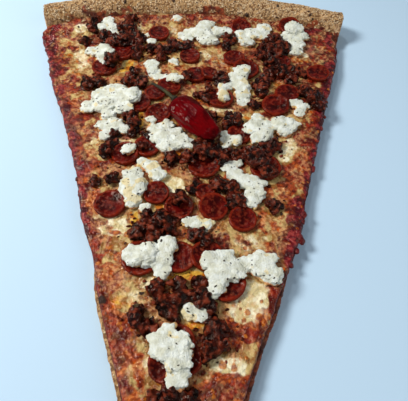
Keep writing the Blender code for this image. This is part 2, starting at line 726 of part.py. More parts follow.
def main():
    """Builds the slice from the dough up."""
    for obj in list(bpy.data.objects):
        bpy.data.objects.remove(obj)
    home = bpy.data.collections.new("sausage_pizza_slice")
    bpy.context.scene.collection.children.link(home)
    baked = material("baked_dough", (0.55, 0.36, 0.19), 0.8)
    tomato = material("tomato_sauce", (0.30, 0.04, 0.02), 0.4)
    melted = material("melted_cheese", (0.72, 0.50, 0.25), 0.4)
    cured = material("sliced_sausage", (0.28, 0.05, 0.03), 0.35)
    fried = material("crumbled_sausage", (0.09, 0.03, 0.02), 0.5)
    curd = material("ricotta", (0.90, 0.87, 0.78), 0.6)
    red_skin = material("chili_skin", (0.33, 0.01, 0.01), 0.2)
    green = material("chili_stalk", (0.06, 0.08, 0.02), 0.6)

    dough = crust(baked, home)
    sauce(tomato, home)
    cheese = mozzarella(melted, home)
    bed = Bed()
    toppings = []
    for name, parts in HEAPS.items():
        toppings.append(heap(name, parts["coins"], parts["crumbs"], bed, fried))
    for name, spec in COINS.items():
        toppings.append(Topping.joined(name, [coin(*spec, bed, cured)]))
    for name, lumps in RICOTTA.items():
        toppings.append(spoonful(name, lumps, bed, curd))
    toppings.append(chili(red_skin))
    toppings.append(stalk(green))
    settle([dough, cheese], toppings)
    for topping in toppings:
        home.objects.link(topping.body)


main()
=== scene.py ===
import logging
import math
import random
from dataclasses import dataclass, field
from enum import Enum
from typing import Any, Callable, Iterable, Optional, Sequence, Union

import bmesh
import bpy
import numpy as np
from mathutils import Matrix, Vector, noise


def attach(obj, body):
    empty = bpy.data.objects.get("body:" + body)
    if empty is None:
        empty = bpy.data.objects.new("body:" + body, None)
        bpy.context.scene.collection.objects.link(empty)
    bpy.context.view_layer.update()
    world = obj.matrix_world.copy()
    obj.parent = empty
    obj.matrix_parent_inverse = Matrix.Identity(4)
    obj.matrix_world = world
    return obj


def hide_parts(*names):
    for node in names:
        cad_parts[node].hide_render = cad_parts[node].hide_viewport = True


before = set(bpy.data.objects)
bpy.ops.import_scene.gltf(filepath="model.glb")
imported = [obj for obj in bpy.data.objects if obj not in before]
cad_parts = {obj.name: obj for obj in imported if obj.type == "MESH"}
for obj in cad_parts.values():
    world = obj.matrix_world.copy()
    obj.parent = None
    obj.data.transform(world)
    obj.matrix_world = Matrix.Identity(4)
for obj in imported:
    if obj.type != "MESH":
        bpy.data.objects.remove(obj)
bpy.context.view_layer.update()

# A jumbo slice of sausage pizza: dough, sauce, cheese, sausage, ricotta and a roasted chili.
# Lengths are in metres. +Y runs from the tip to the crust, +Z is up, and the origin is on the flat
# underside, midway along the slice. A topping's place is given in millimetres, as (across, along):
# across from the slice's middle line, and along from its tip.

LOG = logging.getLogger("slice")
MM = 0.001
BODY = "root"
ROCK_SWELL = 1.08
ROCK_UNEVEN = 0.28
UP = Vector((0.0, 0.0, 1.0))

Place = tuple[float, float, float]
Colour = tuple[float, float, float, float]
Socket = bpy.types.NodeSocket
Node = bpy.types.Node
NodeTree = bpy.types.NodeTree
Material = bpy.types.Material
BMesh = bmesh.types.BMesh
Array = np.ndarray
Feed = Union[Socket, float, Place, Colour]
Shade = Union[Socket, Place]
Noise = tuple[float, float, float]
Bit = tuple[int, float, Place]

# How the cuts wander from straight, in millimetres: distance from the tip, and how far outward
LEFT_CUT = (
    (0, 0), (105, 0), (158, 1.8), (190, -2), (211, -1), (253, -2.9), (295, -1),
    (337, 2.8), (368, 2), (390, 4), (411, 0), (421, -2), (434, -5),
)
RIGHT_CUT = (
    (0, 0), (105, -2.5), (126, -1.5), (158, 2), (200, 3), (232, 0.5), (263, 0.6),
    (316, -0.6), (368, -0.5), (390, -2.5), (415, -3), (425, -4.5), (434, -8),
)

# Coins of sliced sausage that lie clear: across, along, diameter
COINS = (
    (81, 393, 19), (39, 391, 18), (32, 352, 18), (41, 339, 21), (98, 336, 19), (-31, 381, 18),
    (61, 299, 21), (-25, 288, 19), (-45, 250, 19), (-50, 210, 20), (32, 201, 18), (-28, 174, 22),
    (21, 160, 22), (-10, 117, 19), (-6, 127, 21), (-9, 86, 19),
)

# Heaps of crumbled sausage: the coins caught in them, across, along, diameter, then the crumbs,
# across, along, radius
HEAPS = (
    (((-71, 337, 20), (-60, 357, 22)),
     ((-59, 387, 8), (-55, 396, 5), (-52, 378, 6), (-75, 372, 7), (-66, 367, 7),
      (-57, 368, 8), (-48, 370, 7), (-46, 360, 6), (-46, 351, 5), (-65, 341, 7))),
    (((-4, 353, 17),),
     ((-37, 361, 5), (-29, 357, 5.5), (-21, 360, 5.5), (-26, 349, 5.5),
      (-19, 369, 5), (-13, 365, 5.5), (-6, 364, 6))),
    (((1, 331, 17), (12, 332, 14)),
     ((-6, 327, 5), (20, 329, 6), (22, 322, 5))),
    (((71, 349, 14),),
     ((66, 376, 7), (73, 368, 6), (58, 366, 6), (66, 360, 8), (75, 361, 5),
      (56, 356, 6), (62, 347, 7), (60, 336, 6), (70, 336, 7), (80, 338, 5.5),
      (86, 335, 4.5), (76, 328, 6), (56, 328, 5.5), (52, 320, 6.5), (52, 312, 6))),
    (((71, 312, 19),),
     ((84, 315, 6), (90, 307, 7), (95, 312, 4.5), (93, 299, 5.5))),
    (((20, 305, 20),),
     ((12, 313, 4.5), (9, 304, 5), (4, 309, 4.5))),
    (((33, 270, 18),),
     ((26, 286, 5), (31, 282, 6), (24, 278, 4.5))),
    (((8, 242, 22), (49, 241, 21)),
     ((4, 258, 6), (12, 257, 6.5), (-2, 245, 5.5), (7, 249, 6), (13, 250, 5),
      (20, 247, 6), (25, 253, 5.5), (32, 251, 5.5), (40, 250, 8), (43, 243, 7.5),
      (49, 234, 5.5), (57, 260, 6), (50, 255, 6.5))),
    (((-40, 298, 18),),
     ((-44, 284, 6.5), (-42, 275, 6.5), (-42, 268, 4))),
    (((-31, 257, 18),),
     ((-32, 266, 4.5), (-34, 255, 4))),
    (((9, 220, 13), (14, 209, 19)),
     ((17, 226, 6), (26, 222, 6), (27, 214, 6.5), (4, 227, 4), (0, 222, 4.5))),
    (((-22, 219, 17), (-7, 209, 19)),
     ((-8, 213, 6), (-26, 202, 5.5), (-18, 200, 6.5), (-12, 197, 5), (-31, 191, 6),
      (-21, 192, 6.5), (-20, 186, 6), (-11, 191, 5))),
    (((-6, 175, 20), (10, 176, 20)),
     ((1, 188, 5), (8, 187, 6))),
    ((),
     ((-17, 155, 6), (-12, 147, 6), (-6, 157, 5.5), (-3, 151, 6), (-9, 141, 5),
      (6, 159, 5.5), (7, 150, 6.5), (12, 146, 5))),
    (((0, 120, 17),),
     ((12, 138, 4.5), (15, 133, 6.5), (13, 126, 6), (19, 127, 4.5), (9, 121, 4.5))),
    (((-29, 309, 16), (-19, 316, 18)), ()),
    (((4, 58, 17),),
     ((-4, 68, 5), (2, 71, 4.5))),
)

# Crumbs and shreds of ricotta small enough to bake into the cheese: across, along, radius
BAKED_IN_CRUMBS = (
    (-85, 390, 5.5), (-87, 383, 5.5), (-91, 368, 5), (-80, 316, 6.5), (-73, 318, 6),
    (28, 375, 6.5), (26, 366, 5.5), (-46, 331, 5), (-49, 321, 6), (-40, 318, 6.5),
    (-54, 266, 4.5), (-55, 258, 6), (-58, 250, 5.5), (-27, 141, 6), (-19, 134, 5.5),
    (-6, 104, 6.5), (2, 101, 5), (-15, 103, 4.5), (52, 210, 5.5), (-51, 229, 5.5),
    (-62, 227, 4), (45, 298, 5), (14, 285, 4.5), (-14, 247, 5.5), (3, 36, 4),
)
BAKED_IN_RICOTTA = (
    (-40, 378, 3.2), (-36, 370, 4), (-16, 399, 4), (-17, 345, 4), (-28, 208, 3.6),
)

# Spoonfuls of ricotta, each a run of soft lumps: across, along, radius
RICOTTA = (
    ((-74, 394, 4), (-79, 386, 5), (-71, 386, 5.5), (-68, 380, 3.5)),
    ((-83, 356, 5), (-75, 357, 7), (-73, 348, 6.5), (-70, 354, 4.5)),
    ((9, 393, 6), (5, 384, 8.5), (10, 374, 8), (19, 386, 5.5), (27, 388, 4.5),
     (-6, 384, 5), (-6, 375, 5), (-12, 380, 3.5)),
    ((59, 389, 6), (60, 381, 5), (50, 383, 7), (40, 381, 6.5), (43, 373, 6)),
    ((84, 386, 7.5), (87, 381, 7), (80, 380, 6), (86, 371, 6), (83, 361, 5.5)),
    ((-34, 342, 5), (-33, 334, 5.5), (-29, 327, 4), (-21, 325, 4.5), (-14, 323, 4.5)),
    ((38, 333, 6), (34, 326, 7), (38, 318, 6.5), (27, 321, 4.5), (22, 313, 4.5),
     (22, 304, 4.5), (37, 309, 5.5), (37, 301, 4.5)),
    ((-68, 304, 7.5), (-57, 304, 10), (-46, 302, 7.5), (-64, 294, 9), (-52, 293, 8),
     (-76, 293, 5.5), (-60, 286, 6)),
    ((-63, 275, 5), (-55, 275, 6), (-48, 272, 4.5), (-61, 266, 4.5)),
    ((-30, 280, 3.5), (-27, 272, 4.5), (-19, 276, 5), (-22, 266, 7.5),
     (-13, 267, 6.5), (-18, 257, 6.5), (-8, 261, 6.5), (-2, 258, 4.5)),
    ((-38, 231, 7), (-37, 222, 9), (-36, 214, 6), (-32, 242, 4.5), (-26, 239, 5.5),
     (-23, 233, 5.5)),
    ((23, 269, 4), (24, 263, 4.5), (30, 262, 4.5), (22, 257, 3.5)),
    ((47, 284, 5), (43, 276, 7), (49, 270, 7.5), (45, 265, 5.5), (55, 277, 5),
     (63, 280, 6.5), (70, 280, 6), (66, 274, 5.5)),
    ((76, 302, 4.5), (81, 298, 4.5), (78, 292, 4.5)),
    ((31, 245, 3.5), (25, 241, 4.5), (27, 235, 5), (32, 229, 6), (40, 228, 6),
     (41, 220, 6.5), (38, 213, 4.5)),
    ((-2, 199, 3.8), (4, 197, 4.5), (10, 196, 4.5)),
    ((-32, 174, 6), (-24, 175, 7.5), (-17, 173, 7.5), (-12, 181, 5.5), (-15, 165, 5)),
    ((12, 172, 6), (21, 173, 7), (26, 165, 5.5), (18, 165, 7), (16, 156, 5),
     (33, 171, 5), (42, 171, 8), (46, 165, 6)),
    ((1, 143, 4.8), (7, 142, 4.5)),
    ((-10, 132, 4.5), (-12, 125, 7), (-4, 126, 6), (-5, 118, 7), (-4, 110, 5.5)),
    ((4, 87, 5), (10, 83, 4.5), (4, 79, 4.5)),
    ((-42, 252, 4.5),),
)

# Spoonfuls with a browned top, and how much of it is
TOASTED = {4: 0.1, 7: 0.15, 11: 0.3, 16: 0.25, 19: 0.2}


class Bake(Enum):
    """What the oven did to a patch of cheese."""

    RED = "red"
    TOAST = "toast"
    OIL = "oil"
    POOL = "pool"
    CHAR = "char"
    SAUCE = "sauce"


# Patches of the cheese: across, along, half width, half length, strength
PATCHES: dict[Bake, tuple[tuple[float, ...], ...]] = {
    Bake.RED: (
        (47, 148, 4, 10, .9), (41, 130, 4, 12, .9), (36, 112, 4, 10, .9), (56, 172, 3, 6, .8),
        (12, 401, 24, 6, .9), (38, 399, 14, 5, .8), (62, 399, 12, 5, .8), (-60, 399, 16, 5, .8),
        (-98, 398, 12, 6, .8), (-34, 401, 12, 4, .7), (-33, 107, 8, 6, .9), (-25, 108, 6, 5, .5),
        (-37, 118, 8, 8, .8), (-38, 133, 7, 8, .7),
        (-50, 155, 4, 6, .6), (-55, 178, 4, 8, .8), (-58, 190, 6, 6, .9), (-64, 197, 4, 5, .7),
        (-66, 222, 5, 4, .9), (-70, 234, 5, 4, .9), (-50, 228, 4, 2, .5), (34, 132, 9, 4, .9),
        (24, 131, 5, 3, .7), (15, 104, 10, 6, .8), (25, 106, 8, 5, .8), (40, 127, 5, 6, .7),
        (20, 187, 5, 6, 1), (57, 184, 6, 8, 1), (62, 192, 6, 7, 1), (52, 175, 4, 6, .8),
        (58, 170, 4, 5, .9), (68, 204, 5, 8, 1), (60, 197, 5, 4, .7), (66, 218, 4, 8, .6),
        (75, 236, 3, 6, .9), (-20, 212, 6, 5, .9), (8, 116, 6, 5, .5), (-20, 85, 8, 8, .6),
        (15, 80, 7, 8, .7), (0, 45, 8, 8, .6), (-5, 20, 4, 6, .7), (-116, 372, 4, 14, .9),
        (-118, 385, 4, 8, .8), (-113, 345, 5, 14, 1), (-107, 330, 4, 10, .9),
        (-110, 360, 6, 5, .6), (-100, 318, 6, 5, .9), (-97, 303, 5, 6, .6), (-90, 287, 5, 8, .8),
        (-84, 273, 4, 5, .8), (-80, 262, 5, 6, .9), (-75, 254, 4, 4, .7), (-72, 237, 5, 4, 1),
        (-66, 281, 6, 4, .7), (-95, 404, 8, 4, .8), (-60, 404, 14, 4, .8), (-40, 400, 8, 5, .5),
        (-30, 398, 5, 4, .6), (-5, 398, 6, 6, .7), (-115, 393, 6, 4, .8), (15, 405, 16, 5, .9),
        (-3, 405, 8, 4, .8), (35, 400, 6, 6, .8), (55, 402, 10, 4, .6), (65, 395, 4, 6, .6),
        (98, 388, 10, 6, 1), (110, 385, 5, 7, .9), (104, 350, 7, 4, .7), (108, 362, 5, 6, .6),
        (113, 350, 3, 10, .8), (105, 325, 6, 8, .8), (99, 310, 4, 10, .8), (96, 292, 5, 8, 1),
        (88, 283, 5, 5, .8), (90, 268, 4, 8, .8), (85, 250, 3, 8, .9), (80, 240, 4, 6, 1),
        (70, 237, 8, 4, .6),
    ),
    Bake.TOAST: (
        (-45, 160, 8, 14, .8), (-43, 140, 9, 14, .9), (-37, 118, 10, 14, .9), (-30, 104, 8, 8, .8),
        (-52, 182, 6, 10, .6), (32, 106, 10, 8, .8), (20, 100, 12, 5, .7), (-40, 125, 8, 10, .8),
        (-35, 140, 6, 6, .8), (-45, 145, 7, 8, 1), (-42, 155, 6, 4, .6),
        (-30, 118, 5, 8, .6), (-37, 107, 5, 6, .5), (-50, 165, 5, 6, .5), (-52, 172, 5, 5, .4),
        (-40, 158, 6, 3, .6), (-35, 153, 5, 3, .4), (-44, 190, 5, 2.5, .8), (-60, 205, 5, 4, .5),
        (-35, 203, 4, 4, .6), (22, 110, 10, 4, .7), (10, 106, 8, 6, .8), (35, 110, 5, 6, .6),
        (38, 135, 6, 5, .6), (45, 150, 3, 8, .6), (44, 160, 3, 6, .4), (20, 135, 6, 3, .5),
        (50, 208, 8, 6, .5), (45, 215, 5, 6, .4), (63, 225, 8, 8, .9), (65, 237, 6, 5, .8),
        (48, 222, 6, 3, .6), (65, 210, 5, 6, .6), (57, 195, 4, 4, .4), (75, 248, 8, 8, .9),
        (83, 262, 5, 8, .7), (85, 275, 6, 5, .8), (80, 285, 5, 5, .6), (75, 240, 6, 4, .7),
        (60, 245, 4, 5, .4), (108, 375, 6, 9, .9), (100, 360, 5, 5, .5), (88, 353, 8, 3, .7),
        (85, 347, 4, 3, .5), (112, 365, 4, 8, .7), (18, 352, 7, 8, .5), (20, 345, 5, 5, .5),
        (-82, 282, 8, 5, .8), (-75, 275, 6, 5, .5), (-70, 262, 5, 6, .4), (-62, 255, 5, 4, .5),
        (-73, 250, 5, 4, .5), (-88, 300, 6, 5, .5), (-97, 322, 6, 5, .6), (-90, 328, 5, 5, .5),
        (-95, 335, 5, 5, .4), (-105, 350, 6, 6, .4), (-105, 397, 8, 4, .8), (-90, 408, 8, 3, .6),
        (-45, 405, 10, 4, .7), (-100, 405, 8, 5, .7), (-25, 400, 5, 4, .5), (25, 410, 10, 4, .4),
        (50, 408, 12, 4, .6), (-42, 340, 5, 5, .8), (-45, 330, 4, 4, .5), (-60, 325, 8, 5, .3),
        (-55, 283, 5, 2, .6), (-48, 272, 3, 4, .6), (-8, 252, 8, 3, .8), (5, 136, 5, 3, .9),
        (40, 362, 6, 4, .8), (43, 315, 4, 6, .6), (0, 70, 12, 8, .6), (-8, 40, 5, 6, .6),
    ),
    Bake.SAUCE: (
        (66, 190, 7, 12, 1), (71, 207, 6, 13, 1), (60, 176, 5, 9, .9), (77, 227, 4, 11, .8),
        (63, 200, 6, 6, .7), (84, 252, 3, 10, .7), (97, 291, 4, 9, .9), (102, 312, 4, 12, .7),
        (108, 342, 5, 14, .8), (104, 326, 5, 8, .6), (113, 378, 5, 8, .8), (100, 389, 9, 5, .7),
        (52, 163, 3, 6, .6),
        (-119, 378, 3.5, 16, .9), (-116, 352, 3, 14, .9), (-109, 332, 3, 10, .8),
        (-101, 312, 3, 8, .7), (-92, 289, 3, 9, .8), (-83, 264, 3, 8, .8), (-74, 239, 3, 9, .8),
        (-67, 215, 2.5, 8, .6), (-61, 196, 3, 7, .7), (-105, 399, 7, 4, .6),
    ),
    Bake.OIL: (
        (0, 165, 8, 4, 1), (-12, 161, 10, 2.5, .8), (5, 158, 4, 3, .6), (-52, 341, 4, 7, 1),
        (-56, 335, 4, 4, .6), (-45, 349, 5, 3, .5), (-38, 283, 2.5, 8, .9), (-33, 200, 3, 5, .8),
        (-35, 149, 6, 4, .5), (5, 137, 5, 3, .7), (50, 331, 5, 4, .5), (63, 322, 4, 4, .4),
        (41, 288, 4, 3, .7), (-20, 210, 5, 4, .6), (-8, 250, 8, 3, .6), (42, 316, 4, 6, .5),
        (-10, 107, 5, 3, .5), (14, 92, 6, 4, .6),
    ),
    Bake.POOL: (
        (35, 146, 13, 9, 1), (38, 157, 8, 6, 1), (20, 117, 10, 5, .8), (26, 114, 6, 4, .6),
        (-46, 194, 10, 7, .8), (-50, 200, 10, 4, .6), (-13, 228, 9, 6, .9), (-8, 219, 6, 5, .7),
        (0, 215, 4, 5, .5), (-3, 143, 8, 4, .6), (-18, 118, 6, 4, .6), (-20, 128, 6, 5, .4),
        (-30, 152, 6, 5, .6), (-22, 160, 8, 4, .6), (60, 205, 6, 6, .3), (38, 186, 14, 6, .5),
        (-97, 388, 6, 8, .9), (-95, 370, 8, 8, .5), (-92, 352, 8, 10, .6), (-88, 340, 6, 8, .6),
        (-70, 262, 6, 5, .6), (-50, 262, 6, 3, .6), (-85, 375, 6, 6, .4), (100, 368, 8, 6, .9),
        (92, 362, 6, 5, .7), (20, 295, 10, 3, 1), (30, 290, 10, 3, .7), (55, 287, 7, 3, .8),
        (20, 350, 8, 10, .5), (10, 355, 6, 8, .5), (65, 258, 8, 5, .8), (70, 265, 6, 4, .6),
        (63, 250, 5, 5, .5), (-16, 403, 4, 7, 1), (-20, 388, 5, 8, .5), (-50, 390, 5, 5, .5),
        (-36, 262, 8, 3, .6), (17, 218, 4, 3, .7), (0, 98, 14, 6, .5), (8, 66, 6, 5, .5),
    ),
    Bake.CHAR: (
        (-46, 150, 3, 3, 1), (-53, 146, 1.5, 2.5, .9), (-49, 133, 1.5, 2.5, .8),
        (-25, 153, 3, 1.5, .8), (104, 352, 4, 3, .6), (-12, 62, 3, 3, .6), (-93, 303, 3, 2, .5),
        (-84, 392, 6, 4, .5),
    ),
}

# Where sauce and cheese have crept up the rim: across, along, half width, half length, strength
CREPT = (
    (12, 407, 20, 4.5, 1), (30, 406, 12, 3.5, .9), (-6, 406, 10, 4, .9), (50, 403, 12, 3.5, .9),
    (68, 400, 9, 3.5, .7), (-30, 405, 12, 3, .8), (-48, 403, 12, 4, .9), (-66, 401, 14, 5, .9),
    (-85, 398, 12, 5, .9), (-102, 393, 10, 5, .9), (-114, 389, 6, 4, .7), (82, 398, 8, 3.5, .8),
    (98, 394, 10, 4.5, .9), (110, 390, 6, 3.5, .8), (24, 409, 6, 3, .8), (-57, 406, 6, 3, .7),
    (-94, 402, 6, 3, .7),
)

# Charred bits on the rim: across, along, radius
RIM_CHAR = (
    (72, 412, 1.7), (45, 407, 2), (99, 402, 1.5), (62, 423, 1.3), (98, 404, 1.1), (-62, 412, 1.8),
    (-20, 416, 1.6), (8, 424, 1), (84, 410, 1.1), (-95, 409, 1.2), (-40, 421, 0.9), (34, 416, 1.2),
)

# Toasted blisters that stand out: across, along, radius
BLISTERS = (
    (32, 144, 1.8), (38, 142, 1.8), (30, 140, 1.4), (24, 140, 1.4), (40, 139, 1.2),
    (18, 118, 2.1), (24, 116, 1.6), (-44, 190, 1.9), (-38, 190, 1.6), (-52, 171, 1.6), (88, 353, 1.9),
    (84, 351, 1.6), (92, 352, 1.4), (85, 346, 1.6), (16, 352, 2.1), (20, 346, 1.6), (23, 349, 1.4),
    (-94, 345, 1.6), (-90, 329, 1.8), (-86, 326, 1.6), (-94, 318, 1.4), (-48, 182, 1.6), (40, 150, 1.3),
    (-100, 352, 1.8), (-96, 360, 1.6), (-104, 366, 1.4), (-36, 137, 1.9), (-38, 146, 1.8),
)


def tint(red: float, green: float, blue: float) -> Colour:
    """A linear colour from screen values of 0 to 255.

    Args:
        red: Screen value of red.
        green: Screen value of green.
        blue: Screen value of blue.

    Returns:
        The colour with an alpha of 1.
    """
    parts = [v / 255 for v in (red, green, blue)]
    r, g, b = (v / 12.92 if v <= 0.04045 else ((v + 0.055) / 1.055) ** 2.4 for v in parts)
    return r, g, b, 1.0


def ease(t: float) -> float:
    """A smooth step from 0 to 1."""
    t = min(1.0, max(0.0, t))
    return t * t * (3 - 2 * t)


def eased(t: Array) -> Array:
    """A smooth step from 0 to 1 for every value."""
    t = np.clip(t, 0.0, 1.0)
    return t * t * (3 - 2 * t)


def spaced(start: float, end: float, step: float) -> list[float]:
    """Values from start to end, about a step apart."""
    count = max(1, round((end - start) / step))
    return [start + (end - start) * i / count for i in range(count + 1)]


def cloud(points: Array, size: float, seed: float = 0.0) -> Array:
    """Smooth noise at every point, about -1 to 1.

    Args:
        points: Rows of x, y and z.
        size: Breadth of its features.
        seed: Moves the noise to another place.

    Returns:
        One value for each point.
    """
    shifted = points / size + (seed, seed * 1.7, -seed)
    return np.array([noise.noise(p) for p in shifted.tolist()])


def covered(x: Array, y: Array, patches: Iterable[tuple[float, ...]]) -> Array:
    """How strongly some patches cover each point.

    Args:
        x: Places across, in millimetres.
        y: Places along, in millimetres.
        patches: Their places, half widths, half lengths and strengths.

    Returns:
        One value of 0 to 1 for each point.
    """
    found = np.zeros_like(x)
    for across, along, wide, long, strength in patches:
        far = np.hypot((x - across) / wide, (y - along) / long)
        found = np.maximum(found, strength * eased((1.45 - far) / 0.9))
    return found


@dataclass(frozen=True)
class SlicePlan:
    """The wedge's outline from above and the heights of its layers."""

    length: float = 434 * MM
    half_angle: float = math.radians(18.2)
    tip_round: float = 7 * MM
    straight_from: float = 60 * MM
    dough: float = 5.5 * MM
    sauce_floor: float = 5.8 * MM
    sauce_top: float = 7.1 * MM
    cheese_floor: float = 7.4 * MM
    cheese_top: float = 9.4 * MM
    relief: float = 1.0 * MM
    broad: float = 26 * MM
    fine: float = 11 * MM
    ooze: float = 1.6 * MM
    bare_edge: float = 2.4 * MM
    bare_until: float = 150 * MM
    ooze_from: float = 210 * MM
    left_corner_from: float = 398 * MM
    right_corner_from: float = 384 * MM
    corner_bare: float = 7 * MM
    rim_width: float = 26 * MM
    rim_height: float = 20.5 * MM
    rim_undercut: float = 5 * MM
    rim_lumps: float = 1.3 * MM
    rim_lump_size: float = 17 * MM
    rim_crest: float = 0.42
    rim_fall: float = 0.62
    swell_width: float = 26 * MM
    swell_height: float = 4 * MM

    @property
    def rim_inner(self) -> float:
        """Distance from the tip at which the rim starts."""
        return self.length - self.rim_width

    def place(self, across: float, along: float) -> Vector:
        """Plan position in metres of a place given in millimetres."""
        return Vector((across * MM, along * MM - self.length / 2))

    def wander(self, cut: Sequence[tuple[float, float]], reach: float) -> float:
        """How far a cut lies outside its straight line.

        Args:
            cut: Pairs of distance from the tip and offset.
            reach: Distance from the tip.

        Returns:
            The offset in metres.
        """
        for (start, first), (end, last) in zip(cut, cut[1:]):
            if reach <= end * MM:
                share = ease((reach / MM - start) / (end - start))
                return (first + (last - first) * share) * MM
        return cut[-1][1] * MM

    def point(self, reach: float, share: float, spread: float = 0.0) -> tuple[float, float]:
        """Plan position at a reach from the tip.

        Args:
            reach: Distance from the tip.
            share: -1 on the left cut and 1 on the right.
            spread: How far past the cut the layer runs.

        Returns:
            Its x and y.
        """
        rounded = math.sqrt(reach * (reach + self.tip_round))
        rounded -= self.tip_round / 2 * ease(reach / self.straight_from)
        cut = LEFT_CUT if share < 0 else RIGHT_CUT
        edge = self.wander(cut, reach) + spread * ease(2 * reach / self.straight_from)
        across = share * (math.sin(self.half_angle) * rounded + abs(share) ** 3 * edge)
        return across, reach * math.cos(share * self.half_angle) - self.length / 2

    def topping_spread(self, reach: float, share: float) -> float:
        """How far sauce and cheese go past the dough's cut.

        Args:
            reach: Distance from the tip.
            share: Below 0 on the left of the slice.

        Returns:
            The distance, below 0 where they stop short of the cut.
        """
        oozed = ease((reach - self.bare_until) / (self.ooze_from - self.bare_until))
        corner_from = self.left_corner_from if share < 0 else self.right_corner_from
        corner = ease((reach - corner_from) / (self.rim_inner - corner_from))
        return -self.bare_edge + (self.bare_edge + self.ooze) * oozed - self.corner_bare * corner

    def reach_of(self, x: float, y: float) -> float:
        """Distance of a point from the tip, seen from above."""
        return math.hypot(x, y + self.length / 2)

    def swell(self, reach: float) -> float:
        """How much the dough has thickened towards the rim."""
        share = (reach - self.rim_inner + self.swell_width) / self.swell_width
        return self.swell_height * ease(share)

    def cheese_height(self, x: float, y: float) -> float:
        """Height of the melted cheese's uneven top.

        Args:
            x: Place across.
            y: Place along.

        Returns:
            The height above the underside.
        """
        spot = Vector((x, y, 0.0))
        relief = 0.7 * noise.noise(spot / self.broad) + 0.5 * noise.noise(spot / self.fine)
        return self.cheese_top + self.relief * relief + self.swell(self.reach_of(x, y))

    def crust_height(self, x: float, y: float, reach: float) -> float:
        """Height of the crust's top: flat under the sauce, then a lumpy round rim.

        Args:
            x: Place across.
            y: Place along.
            reach: Distance from the tip.

        Returns:
            The height above the underside.
        """
        base = self.dough + self.swell(reach)
        t = (reach - self.rim_inner) / self.rim_width
        if t <= 0.001:
            return base
        rise = math.sin(math.pi / 2 * min(1.0, t / self.rim_crest)) ** 0.8
        fallen = max(0.0, (t - self.rim_crest) / (1 - self.rim_crest)) ** 2.2
        lumps = self.rim_lumps * noise.noise(Vector((x, y, 0.0)) / self.rim_lump_size)
        round_part = (self.rim_height - base) * rise * (1 - self.rim_fall * fallen)
        return base + round_part + lumps * ease(t / self.rim_crest)

    def inset(self, points: Array) -> Array:
        """How far inside the nearer cut each point lies, seen from above.

        Args:
            points: Rows of x, y and z.

        Returns:
            One distance for each point.
        """
        found = []
        for x, y, _ in points.tolist():
            side = 1.0 if x > 0 else -1.0
            edge, _ = self.point(self.reach_of(x, y), side)
            found.append((abs(edge) - abs(x)) * math.cos(self.half_angle))
        return np.array(found)

    def wedge(
        self,
        rows: Sequence[float],
        columns: int,
        spread: Callable[[float, float], float],
        floor: Callable[[float], float],
        top: Callable[[float, float, float], float],
    ) -> BMesh:
        """A wedge-shaped layer, drawn as a grid and raised.

        Args:
            rows: Distances from the tip.
            columns: Cells from cut to cut.
            spread: How far past the cut it runs, by reach and share.
            floor: Height of its underside, by reach.
            top: Height of its top, by x, y and reach.

        Returns:
            The closed mesh.
        """
        bm = bmesh.new()
        count = len(rows) - 1
        bmesh.ops.create_grid(bm, x_segments=columns, y_segments=count, size=1.0)
        reach_layer = bm.verts.layers.float.new("reach")
        share_layer = bm.verts.layers.float.new("share")
        for vert in bm.verts:
            reach = rows[round((vert.co.y + 1) / 2 * count)]
            vert[reach_layer], vert[share_layer] = reach, vert.co.x
            past = spread(reach, vert.co.x)
            vert.co = (*self.point(reach, vert.co.x, past), floor(reach))
        raised = bmesh.ops.extrude_face_region(bm, geom=bm.faces[:])["geom"]
        upper = {part for part in raised if isinstance(part, bmesh.types.BMVert)}
        for vert in bm.verts:
            reach = vert[reach_layer]
            if vert in upper:
                vert.co.z = top(vert.co.x, vert.co.y, reach)
            elif reach > self.rim_inner:
                back = self.rim_undercut * ease((reach - self.rim_inner) / self.rim_width)
                vert.co.x, vert.co.y = self.point(reach - back, vert[share_layer])
        bmesh.ops.remove_doubles(bm, verts=bm.verts, dist=0.01 * MM)
        bmesh.ops.recalc_face_normals(bm, faces=bm.faces)
        return bm


PLAN = SlicePlan()


def mesh_of(bm: BMesh, name: str) -> bpy.types.Mesh:
    """Turns a bmesh into a mesh and frees it.

    Args:
        bm: The bmesh.
        name: The mesh's name.

    Returns:
        The mesh.
    """
    mesh = bpy.data.meshes.new(name)
    bm.to_mesh(mesh)
    bm.free()
    return mesh


def stand(name: str, data: bpy.types.ID) -> bpy.types.Object:
    """Puts a new object in the scene.

    Args:
        name: Its name.
        data: Its mesh, lamp or camera.

    Returns:
        The object.
    """
    made = bpy.data.objects.new(name, data)
    bpy.context.scene.collection.objects.link(made)
    return made


